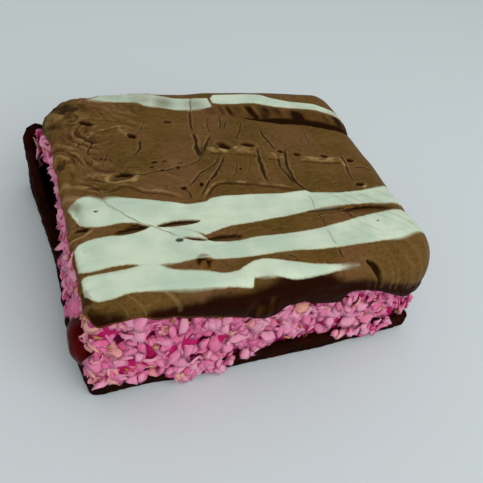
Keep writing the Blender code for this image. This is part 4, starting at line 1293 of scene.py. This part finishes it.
def chip_shape(count, random, length, width, thickness, cells=CHIP_CELLS):
    """Closed chips about the origin, all at once: u runs along and v across each, from -1
    to 1. Its half width shrinks towards the ends by a power and leans to one side, it curls
    along u and twists along u v, and its thickness fades to a rim that both faces share.
    Returns points (count, n, 3), quads, and the distance from the middle, 0 to 1."""
    u, v = np.meshgrid(*(np.linspace(-1, 1, number + 1) for number in cells), indexing="ij")
    u, v = u.ravel(), v.ravel()
    middle = np.maximum(abs(u), abs(v))
    draw = random.uniform(-1, 1, (9, count, 1))
    size = random.uniform(*length, (count, 1)) / 2
    wide = random.uniform(*width, (count, 1)) / 2
    blunt = 3.0 + 1.2 * draw[0]
    half = wide * (1 - abs(u) ** blunt * (0.62 + 0.25 * draw[1])) * (1 + 0.30 * draw[2] * u)
    along = size * (u * (1 - 0.16 * v**2) + 0.18 * draw[3] * v)
    jag = random.uniform(-1, 1, (count, u.size)) * 0.20
    across = half * (v + 0.3 * draw[4] * (1 - u**2)) + wide * jag * (abs(v) == 1)
    along = along + size * 0.5 * random.uniform(-1, 1, (count, u.size)) * 0.36 * (abs(u) == 1)
    curl = size * (0.26 * (draw[5] - 0.5) * u**2 + 0.30 * draw[6] * u * v)
    curl = curl + wide * 0.30 * (draw[7] - 0.4) * v**2
    thick = thickness / 2 * (0.9 + 0.3 * draw[8]) * (1 - 0.5 * middle**2)
    inner = np.flatnonzero(middle < 1)
    upper = xyz(along, across, curl + thick * (middle < 1))
    lower = xyz(along, across, curl - thick)[:, inner]
    top = grid_faces(cells[0] + 1, cells[1] + 1)[:, ::-1]
    under = np.arange(u.size)
    under[inner] = u.size + np.arange(inner.size)
    faces = np.concatenate([top, under[top[:, ::-1]]])
    return np.concatenate([upper, lower], axis=1), faces, np.concatenate([middle, middle[inner]])


def turned(points, normal, heading):
    """Chips turned so that their thickness lies along a normal and their length along the
    heading, made square to it."""
    normal = normal / np.linalg.norm(normal, axis=-1, keepdims=True)
    heading = heading - (heading * normal).sum(-1, keepdims=True) * normal
    heading = heading / np.linalg.norm(heading, axis=-1, keepdims=True)
    axes = (heading, np.cross(normal, heading), normal)
    return sum(points[..., i : i + 1] * axis[:, None] for i, axis in enumerate(axes))


def allowed(places):
    """Chips stay off the cherry, off the hollow, and off the bare part of the left side."""
    keep = bare_shaded_share(places) < 0.5
    for centre, size, _ in OPENINGS:
        keep &= np.linalg.norm((places - centre) / (np.array(size) / 2), axis=-1) > 1.12
    return keep


def scatter(count, random, reach, proud):
    """Places on the cut sides: stratified along the outline and in height, then pushed out
    by a draw from proud. Returns places, outward normals and how far out they are, 0 to 1."""
    outline = [np.append(value, value[0]) for value in filling_side(FLAKE_SPACING)]
    x, y, _, _, hem = outline
    run = np.concatenate([[0], np.cumsum(np.hypot(np.diff(x), np.diff(y)))])
    weight = hem - BASE_THICKNESS
    area = np.concatenate([[0], np.cumsum(np.diff(run) * (weight[1:] + weight[:-1]) / 2)])
    cut = (np.arange(count) + random.uniform(0, 1, count)) / count * area[-1]
    at = np.interp(cut, area, run)
    share = (random.permutation(count) + random.uniform(0, 1, count)) / count
    x, y, out_x, out_y, hem = (np.interp(at, run, value) for value in outline)
    low = BASE_THICKNESS + reach[0]
    level = low + share * (hem + reach[1] - low)
    out = xyz(out_x, out_y)
    out /= np.linalg.norm(out, axis=-1, keepdims=True)
    push = random.uniform(*proud, count)
    raised = (push - proud[0]) / (proud[1] - proud[0])
    return xyz(x, y, level) + push[:, None] * out, out, raised


def random_directions(random, out, lean, lift):
    """Normals near the outward direction, raised by lift degrees and then tilted by up to
    lean degrees either way, with free headings."""
    side = xyz(-out[:, 1], out[:, 0])
    up = np.array([0, 0, 1.0])
    tilt, swing = random.uniform(-lean, lean, (2, len(out), 1))
    normal = out + np.tan(np.radians(tilt + lift)) * up + np.tan(np.radians(swing)) * side
    spin = random.uniform(0, 2 * math.pi, (len(out), 1))
    return normal, np.cos(spin) * side + np.sin(spin) * up


def warmth(random, places):
    """How peach each flake is: some everywhere, more by the front left corner and the hem."""
    corner = bell((places[:, 0] + 0.5) / 5) * step((6 - places[:, 1]) / 6)
    chosen = random.uniform(0, 1, len(places)) < 0.05 + 0.35 * corner
    return np.where(chosen, random.uniform(0.4, 1.0, len(places)), 0.0)


def chip_piece(name, material, random, places, normal, heading, sizes, tint):
    """One piece of all the chips of a kind, kept clear of the table."""
    shape, faces, tip = chip_shape(len(places), random, *sizes)
    each = shape.shape[1]
    points = (turned(shape, normal, heading) + places[:, None]).reshape(-1, 3)
    points[:, 2] = np.maximum(points[:, 2], TABLE_CLEARANCE)
    quads = (faces + each * np.arange(len(places))[:, None, None]).reshape(-1, 4)
    marks = {
        "tint": np.repeat(tint, each),
        "tip": np.tile(tip, len(places)),
        "warm": np.repeat(warmth(random, places), each),
    }
    make_piece(name, points, [quads], material, ["coconut_filling"], marks)


def build_flakes():
    """Broad flakes over all the cut sides, narrow shreds between them, fine crumbs in the
    gaps, those that hang over the base, and a few toasted flakes."""
    look = bpy.context.scene.slice_colours
    settings = bpy.context.scene.slice_shape
    random = np.random.default_rng(settings.seed)
    colours = (look.pink_pale, look.pink, look.pink_strong, look.pink_peach)
    for name, (count, reach, proud, lean, sizes) in FLAKE_KINDS.items():
        places, out, raised = scatter(int(count * settings.cover), random, reach, proud)
        normal, heading = random_directions(random, out, lean, FLAKE_LIFT)
        # Deeper flakes get a stronger pink as painted shade, on top of a random tint
        tint = 0.45 * random.beta(1.4, 1.0, len(places)) + 0.55 * raised
        keep = allowed(places)
        kept = (places[keep], normal[keep], heading[keep], sizes, tint[keep])
        chip_piece(name, coconut_flake(name + "_dyed", *colours), random, *kept)
    build_hanging(random, colours)
    build_toasted(random, look)


def build_hanging(random, colours):
    """Flakes that lean out over the front edge of the base, down to a foot that differs
    along it, and a few on the ledge at the left."""
    x = random.uniform(0.6, 66.0, HANGING_TRIED)
    level = random.uniform(0.9, 5.0, HANGING_TRIED)
    hangs = level > smooth(x, FLAKE_FOOT) + 0.9
    x, level = x[hangs], level[hangs]
    y = smooth(x, BASE_PLAN["front"]) - random.uniform(0.10, 0.65, len(x))
    ledge_y = random.uniform(10.5, 28.0, ON_LEDGE)
    ledge_x = smooth(ledge_y, FILLING_PLAN["left"]) - random.uniform(0.1, 1.3, ON_LEDGE)
    ledge_z = BASE_THICKNESS + random.uniform(0.4, 2.6, ON_LEDGE)
    places = np.concatenate([xyz(x, y, level), xyz(ledge_x, ledge_y, ledge_z)])
    out = np.repeat([[0.0, -1.0, 0.0], [-1.0, 0.0, 0.0]], [len(x), ON_LEDGE], axis=0)
    normal, heading = random_directions(random, out, 28, 12)
    tint = random.beta(1.8, 1.2, len(places))
    material = coconut_flake("coconut_hanging_dyed", *colours)
    chip_piece(
        "coconut_flakes_hanging", material, random, places, normal, heading, HANGING_CHIPS, tint
    )


def build_toasted(random, look):
    """Small brown bits of skin and toasted flake, half sunk between the others."""
    places, out, _ = scatter(TOASTED, random, (0.4, 0.1), (-0.2, 0.4))
    keep = allowed(places)
    normal, heading = random_directions(random, out, 60, 10)
    toasted = coconut_flake("coconut_toasted", look.toast_pale, look.toast, look.toast_dark, look.toast)
    kept = (places[keep], normal[keep], heading[keep], TOASTED_CHIPS)
    chip_piece("coconut_flakes_toasted", toasted, random, *kept, random.uniform(0, 1, keep.sum()))


def build_cherry():
    """A lumpy ellipsoid: its radius varies with noise, and its outer left side is pressed
    flatter, as a knife left it."""
    a = np.linspace(0, 2 * math.pi, CHERRY_AROUND + 1)[:-1]
    b = np.linspace(-math.pi / 2, math.pi / 2, CHERRY_RINGS + 2)[1:-1]
    b, a = np.meshgrid(b, a, indexing="ij")
    unit = xyz(np.cos(b) * np.cos(a), np.cos(b) * np.sin(a), np.sin(b))
    radius = 0.5 * (1 + 0.05 * np.sin(3 * a + 1) * np.cos(2 * b) + 0.07 * noise(unit, 0.55, 71))
    rings = np.array(CHERRY_CENTRE) + unit * radius[..., None] * np.array(CHERRY_SIZE)
    cut_x = CHERRY_CENTRE[0] - CHERRY_CUT * CHERRY_SIZE[0]
    rings[..., 0] -= CHERRY_PRESSED * np.minimum(rings[..., 0] - cut_x, 0)
    points, faces = stack_mesh(list(rings))
    left = step((-2.35 - points[:, 0]) / 0.5) * step((12.0 - points[:, 2]) / 3)
    towards = step((noise(points, 1.4, 72) + 0.3) / 0.8)
    marks = {"rim": np.clip(left * (0.15 + 0.75 * towards), 0, 1)}
    make_piece("glace_cherry_half", points, faces, candied_cherry(), ["glace_cherry"], marks)


def skirt_push(x, y, level, hem, shoulder):
    """How far the topping's side stands out: a slight belly, drips and flow marks that run
    down it, and a lump over the front."""
    share = (level - hem) / np.maximum(shoulder - hem, 0.5)
    places = xyz(x, y, level)
    belly = 0.22 * np.sin(np.pi * np.clip(share, 0, 1))
    flow = 0.16 * noise(places * [1, 1, 0.15], 1.6, 81) + 0.10 * noise(places, 3.5, 82)
    on_front = step((3 - y) / 3)
    streaks = on_front * bell((x - 28.5) / 3.6) * noise(places * [1, 1, 0.12], 1.0, 83)
    lump = on_front * bell((x - 28.6) / 1.5) * bell((level - 18.6) / 1.6)
    corner = step((12 - x) / 9) * step((y - 46) / 9)
    crumble = (0.30 * corner + 0.06) * rough(places, 1.6, 84)
    return belly + (flow + 0.42 * streaks) * step(share / 0.15) + 0.45 * lump + crumble


def skirt_warmth(points, hem):
    """How ochre the cover's side is: in streaks that run down over the front, partly painted
    highlight, along its hem at the front left, and on its thin left edge."""
    x, y, level = points.T
    on_front = step((1.5 - y) / 1.5)
    streaks = bell((x - 28.5) / 3.2) * step((noise(points * [1, 1, 0.2], 0.7, 88) + 0.5) / 1.4)
    line = step((1.1 - (level - hem)) / 0.6) * step((27 - x) / 8)
    left = step((0.8 - x) / 0.8) * step((46 - y) / 4) * step((y - 1) / 2)
    return np.clip(np.maximum(on_front * np.maximum(0.42 * streaks, 0.6 * line), 0.9 * left), 0, 1)


def side_shade_share(points):
    """1 where the cover's side gets painted shade, below the height at which the cover turns
    over, which is higher under the front stripe, and 0 on the top."""
    x, y, level = points.T
    turn = side_value(x, y, TOPPING_SHADE_TURN)
    turn = turn + 1.4 * bell((x - 34) / 7, 4) * step((1.6 - y) / 1.4)
    level = level + 0.4 * noise(points, 2.4, 86) + 0.2 * noise(points, 0.9, 87)
    return step((turn + 1.3 - level) / 2.8)


def build_topping():
    """The poured cover: a grid over its top, bands down its side to the wavy hem, a round
    hem, and its underside. The top sinks under each white stripe, which lies in that bed."""
    x, y = plan_grid(TOPPING_PLAN, TOPPING_RADIUS, COVER_ACROSS, COVER_ALONG)
    depth = bpy.context.scene.slice_shape.stripe_depth / MM
    points, marks = surface(x, y, -depth * step((cover_distance(x, y, 0.0) - 0.45) / 0.6))
    numbers = around(np.arange(x.size).reshape(x.shape))
    edge_x, edge_y, shoulder = points.reshape(-1, 3)[numbers].T
    rim_x, rim_y = around(x), around(y)
    out_x, out_y = outward(edge_x, edge_y)
    hem = side_value(rim_x, rim_y, TOPPING_HEM) + 0.12 * noise(xyz(rim_x, rim_y), 1.5, 85)
    rings = []
    down = {label: [values.ravel()] for label, values in marks.items()}
    for k in range(1, COVER_BANDS):
        share = 1 - k / COVER_BANDS
        level = hem + HEM_ROUND + (shoulder - hem - HEM_ROUND) * share
        push = skirt_push(rim_x, rim_y, level, hem, shoulder) * step((1 - share) / 0.2)
        at = xyz(edge_x + push * out_x, edge_y + push * out_y, level)
        rings.append(at)
        fade = step((share - 0.5) / 0.5)
        for label, plain in Relief.PLAIN.items():
            down[label].append(plain + (down[label][0][numbers] - plain) * fade)
        down["warm"][-1] = np.maximum(down["warm"][-1], skirt_warmth(at, hem))
    for inset, lower in HEM_STEPS:
        rings.append(xyz(at[:, 0] - inset * out_x, at[:, 1] - inset * out_y, hem + HEM_ROUND - lower))
    for inset in COVER_INSETS:
        at_x, at_y = shrink(edge_x, edge_y, inset)
        rings.append(xyz(at_x, at_y, under_level(at_x, at_y, 0.0)))
    faces = [grid_faces(*x.shape)]
    above = numbers
    for i in range(len(rings)):
        below = x.size + i * len(numbers) + np.arange(len(numbers))
        faces.append(band_faces(above, below))
        above = below
    points = np.concatenate([points.reshape(-1, 3), *rings, [rings[-1].mean(axis=0)]])
    faces.append(fan_faces(above, len(points) - 1, False))
    # The side mark is painted shade on the cover's sides
    marks = {"side": side_shade_share(points)}
    for label, plain in Relief.PLAIN.items():
        carried = np.concatenate(down[label])
        marks[label] = np.append(carried, np.full(len(points) - len(carried), plain))
    nodes = ["chocolate_topping"]
    make_piece("milk_chocolate_cover", points, faces, milk_chocolate(), nodes, marks)


def build_stripe(name, edges, material):
    """A ribbon between two edge curves: its top follows the cover's relief, stands a little
    proud inside the outline and dips under the cover outside it; its floor lies in the bed."""
    settings = bpy.context.scene.slice_shape
    spacing, depth, proud = settings.cell / MM, settings.stripe_depth / MM, settings.stripe_proud / MM
    front, back = edges
    start, stop = front[0][0] - STRIPE_MARGIN, front[-1][0] + STRIPE_MARGIN
    x = np.linspace(start, stop, int((stop - start) / spacing) + 1)
    width = (smooth(x, back) - smooth(x, front)).max() + 2 * STRIPE_MARGIN
    across = np.linspace(0, 1, int(width / spacing) + 1)[:, None]
    low, high = smooth(x, front) - STRIPE_MARGIN, smooth(x, back) + STRIPE_MARGIN
    y = low + (high - low) * across
    x = np.broadcast_to(x, y.shape)
    plan, inset = TOPPING_PLAN, STRIPE_INSET
    x = np.clip(x, smooth(y, plan["left"]) + inset, smooth(y, plan["right"]) - inset)
    y = np.clip(y, smooth(x, plan["front"]) + inset, smooth(x, plan["back"]) - inset)
    edge = cover_distance(x, y)
    fade = strongest(x, y, BARE_EDGE, SMEARS)
    outside = np.maximum(step(-(edge + fade) / 0.5), step((-0.7 - stripe_distance(x, y, edges)) / 0.4))
    # Each stripe stands at a height of its own, so that no two share a surface where they meet
    proud = proud + 0.02 * list(STRIPES).index(name)
    top, marks = surface(x, y, proud * step((edge + fade) / 0.4) - 0.35 * outside)
    floor, _ = surface(x, y, np.full(x.shape, -0.75 * depth))
    border = around(np.arange(x.size).reshape(x.shape))
    faces = [
        grid_faces(*x.shape), grid_faces(*x.shape, x.size)[:, ::-1], band_faces(border, border + x.size)
    ]
    marks |= {"edge_distance": edge, "fade_width": fade, "veil": strongest(x, y, 0.0, VEILS)}
    marks = {label: np.tile(values.ravel(), 2) for label, values in marks.items()}
    points = np.concatenate([top.reshape(-1, 3), floor.reshape(-1, 3)])
    # The side mark is painted shade, as on the cover
    marks["side"] = side_shade_share(points)
    make_piece(name + "_set", points, faces, material, [name], marks)


def build_stripes():
    """All the stripes, in one white chocolate."""
    material = white_chocolate()
    for name, edges in STRIPES.items():
        build_stripe(name, edges, material)


# The photograph's camera, in slice millimetres and degrees
CAMERA_PLACE = (-4.88, -43.15, 85.74)
CAMERA_PITCH = 44.21
CAMERA_YAW = 30.38
CAMERA_ROLL = 14.57
CAMERA_LENS = 37.26
CAMERA_SHIFT = (0.0093, -0.0072)
CAMERA_NEAR = 0.005
SENSOR_WIDTH = 36.0
# Each lamp: its place and width in metres, and the setting that holds its power
LAMPS = {
    "softbox_front_right": ((0.20, -0.45, 0.50), 0.60, "key"),
    "softbox_overhead": ((0.02, 0.02, 0.70), 0.50, "fill"),
}
LAMP_AIM = (0, 0, 0.015)
TABLE_HALF = 3.0


def build_stage():
    """The table, a soft lamp at the front right and a weaker one overhead, even light from
    all round, and the camera at the photograph's place."""
    mesh = bpy.data.meshes.new("table")
    corners = [(x * TABLE_HALF, y * TABLE_HALF, 0) for x, y in ((-1, -1), (1, -1), (1, 1), (-1, 1))]
    mesh.from_pydata(corners, [], [(0, 1, 2, 3)])
    mesh.materials.append(pale_laminate())
    table = put("table", mesh)

    light = bpy.context.scene.slice_light
    for name, (place, width, power) in LAMPS.items():
        lamp = bpy.data.lights.new(name, "AREA")
        lamp.shape = "SQUARE"
        lamp.size = width
        lamp.energy = getattr(light, power)
        made = put(name, lamp)
        made.location = place
        made.rotation_euler = (Vector(LAMP_AIM) - Vector(place)).to_track_quat("-Z", "Y").to_euler()
    world = bpy.data.worlds.new("soft_room")
    world.use_nodes = True
    background = world.node_tree.nodes["Background"]
    background.inputs["Color"].default_value = (*light.sky, 1)
    background.inputs["Strength"].default_value = light.sky_strength
    bpy.context.scene.world = world

    view = bpy.data.cameras.new("camera")
    view.lens = CAMERA_LENS
    view.sensor_width = SENSOR_WIDTH
    view.shift_x, view.shift_y = CAMERA_SHIFT
    view.clip_start = CAMERA_NEAR
    camera = put("camera", view)
    upright = Euler((math.radians(90 - CAMERA_PITCH), 0, math.radians(-CAMERA_YAW))).to_matrix()
    camera.rotation_euler = (upright @ Matrix.Rotation(math.radians(CAMERA_ROLL), 3, "Z")).to_euler()
    camera.location = (np.array(CAMERA_PLACE) - ORIGIN) * MM
    bpy.context.scene.camera = camera
    bpy.context.scene.view_settings.view_transform = "Standard"


def number_setting(name, description, default, **more):
    """A number in the panel."""
    return bpy.props.FloatProperty(name=name, description=description, default=default, **more)


LENGTH = {"unit": "LENGTH", "precision": 5}


def colour_setting(name, description, hex_colour):
    """A colour in the panel, kept as linear RGB."""
    return bpy.props.FloatVectorProperty(
        name=name, description=description, default=linear(hex_colour)[:3], subtype="COLOR", min=0, max=1
    )


class SliceShape(bpy.types.PropertyGroup):
    """Sizes of the slice's surfaces."""

    cell: number_setting("Cell", "Distance between the points of a stripe's surface", 0.00025, **LENGTH)
    stripe_depth: number_setting("Stripe depth", "How deep the bed of a white stripe is", 0.0012, **LENGTH)
    stripe_proud: number_setting("Stripe height", "How far a stripe stands proud", 0.00007, **LENGTH)
    recess: number_setting("Recess", "How far the paste lies behind the flakes", 0.0006, **LENGTH)
    cover: number_setting("Cover", "How many flakes there are, as a share of the usual number", 1.0, min=0.1)
    seed: bpy.props.IntProperty(name="Seed", description="Which draw of flakes is used", default=5)


class SliceColours(bpy.types.PropertyGroup):
    """Colours of the slice's foods and of the table."""

    milk: colour_setting("Milk chocolate", "Most of the cover", "#694C24")
    milk_olive: colour_setting("Olive", "Cooler patches of the cover", "#5A431B")
    milk_red: colour_setting("Red", "Redder patches of the cover", "#6E4D2E")
    milk_pale: colour_setting("Pale streaks", "Knife streaks on the cover", "#7A5C33")
    milk_shade: colour_setting("Shade", "Darker mottling of the cover", "#4A3414")
    # Pale mottling, and painted highlight on the cover's lips, rims, crests and bumps
    milk_mottle_and_highlight: colour_setting("Bloom", "Worn lips and bumps of the cover", "#A98A5C")
    # Painted shade in the cracks, pits and other dips of the cover
    milk_painted_shade: colour_setting("Dark chocolate", "Cracks and pits", "#221003")
    # Painted shade: the dark colour of the cover's sides
    milk_side_shade: colour_setting("Chocolate sides", "Fresh chocolate of the cover's sides", "#250A01")
    # Ochre of thin chocolate, and painted highlight on rims, fold crests and front streaks
    milk_ochre_and_highlight: colour_setting("Ochre", "Thin chocolate over coconut and over a flake", "#6E4815")
    white_cool: colour_setting("White", "Cool parts of the stripes", "#C2D6BF")
    white_warm: colour_setting("Warm white", "Warm parts of the stripes", "#D6E4CC")
    white_shade: colour_setting("White streaks", "Streaks and scratches in the stripes", "#A3B09C")
    # Ochre where a stripe thins out, also painted highlight on the rims of tears
    white_edge_and_highlight: colour_setting("White edge", "Where a stripe thins out", "#B9B98F")
    base_dark: colour_setting("Base", "Most of the base", "#1D0A03")
    base_red: colour_setting("Base red", "Redder patches of the base", "#2B0B05")
    base_speck: colour_setting("Base specks", "Ground nut in the base", "#4E3210")
    pink_pale: colour_setting("Pale pink", "The palest flakes", "#F4A3BE")
    pink: colour_setting("Pink", "Most flakes", "#E6649A")
    pink_strong: colour_setting("Strong pink", "The most dyed flakes", "#C81F68")
    pink_peach: colour_setting("Peach", "Flakes that took less dye", "#F2AC9A")
    pink_deep: colour_setting("Deep pink", "Paste between the flakes", "#B41C62")
    # Painted shade in the hollows of the paste
    pink_hollow_shade: colour_setting("Dark pink", "Hollows of the paste", "#5C0830")
    toast: colour_setting("Toasted", "Toasted flakes", "#B07A3C")
    toast_pale: colour_setting("Toasted pale", "Lightly toasted flakes", "#D6A070")
    toast_dark: colour_setting("Toasted dark", "Darkest toasted flakes", "#6A3C14")
    cherry: colour_setting("Cherry", "Candied cherry flesh", "#480204")
    cherry_red: colour_setting("Cherry red", "Brighter cherry flesh", "#6A0A08")
    cherry_rim: colour_setting("Cherry rim", "Thin rim of the cherry", "#963C40")
    table: colour_setting("Table", "The pale table", "#D8E1E4")


class SliceLight(bpy.types.PropertyGroup):
    """Light on the stage."""

    key: number_setting("Key", "Light from the front right", 2.3, unit="POWER")
    fill: number_setting("Fill", "Light from overhead", 0.4, unit="POWER")
    sky: colour_setting("Sky", "Colour of the light from all round", "#FAFCFB")
    sky_strength: number_setting("Sky strength", "Light from all round", 0.48)


class StageOperator(bpy.types.Operator):
    """Adds the table, the lights and the camera"""

    bl_idname = "slice.add_stage"
    bl_label = "Stage"

    def execute(self, context):
        build_stage()
        return {"FINISHED"}


class BaseOperator(bpy.types.Operator):
    """Adds the dark chocolate base with its raised corner"""

    bl_idname = "slice.add_base"
    bl_label = "Base"

    def execute(self, context):
        build_base()
        return {"FINISHED"}


class PasteOperator(bpy.types.Operator):
    """Adds the pink paste that holds the coconut"""

    bl_idname = "slice.add_paste"
    bl_label = "Coconut paste"

    def execute(self, context):
        build_core()
        return {"FINISHED"}


class FlakesOperator(bpy.types.Operator):
    """Adds the coconut flakes over the cut sides"""

    bl_idname = "slice.add_flakes"
    bl_label = "Coconut flakes"

    def execute(self, context):
        build_flakes()
        return {"FINISHED"}


class CherryOperator(bpy.types.Operator):
    """Adds the cherry at the left cut"""

    bl_idname = "slice.add_cherry"
    bl_label = "Cherry"

    def execute(self, context):
        build_cherry()
        return {"FINISHED"}


class CoverOperator(bpy.types.Operator):
    """Adds the milk chocolate cover with its cracks and pits"""

    bl_idname = "slice.add_cover"
    bl_label = "Milk chocolate cover"

    def execute(self, context):
        build_topping()
        return {"FINISHED"}


class StripesOperator(bpy.types.Operator):
    """Adds the white chocolate stripes"""

    bl_idname = "slice.add_stripes"
    bl_label = "White stripes"

    def execute(self, context):
        build_stripes()
        return {"FINISHED"}


STEPS = (
    StageOperator, BaseOperator, PasteOperator, FlakesOperator,
    CherryOperator, CoverOperator, StripesOperator,
)


class SlicePanel(bpy.types.Panel):
    """Lists the steps and settings of the slice"""

    bl_idname = "SLICE_PT_steps"
    bl_label = "Coconut slice"
    bl_space_type = "VIEW_3D"
    bl_region_type = "UI"
    bl_category = "Slice"

    def draw(self, context):
        """Every setting of the three groups, then a button for each step."""
        for group in GROUPS:
            settings = getattr(context.scene, group)
            for label in type(settings).__annotations__:
                self.layout.prop(settings, label)
        for operator in STEPS:
            self.layout.operator(operator.bl_idname)


GROUPS = {"slice_shape": SliceShape, "slice_colours": SliceColours, "slice_light": SliceLight}
CLASSES = (*GROUPS.values(), *STEPS, SlicePanel)


def register():
    """Makes the settings, the steps and the panel known."""
    for item in CLASSES:
        bpy.utils.register_class(item)
    for label, group in GROUPS.items():
        setattr(bpy.types.Scene, label, bpy.props.PointerProperty(type=group))


def unregister():
    """Takes away all that register() added."""
    for label in GROUPS:
        delattr(bpy.types.Scene, label)
    for item in reversed(CLASSES):
        bpy.utils.unregister_class(item)


def main():
    """Runs every step in order."""
    register()
    for operator in STEPS:
        group, name = operator.bl_idname.split(".")
        getattr(getattr(bpy.ops, group), name)()


if __name__ == "__main__":
    main()
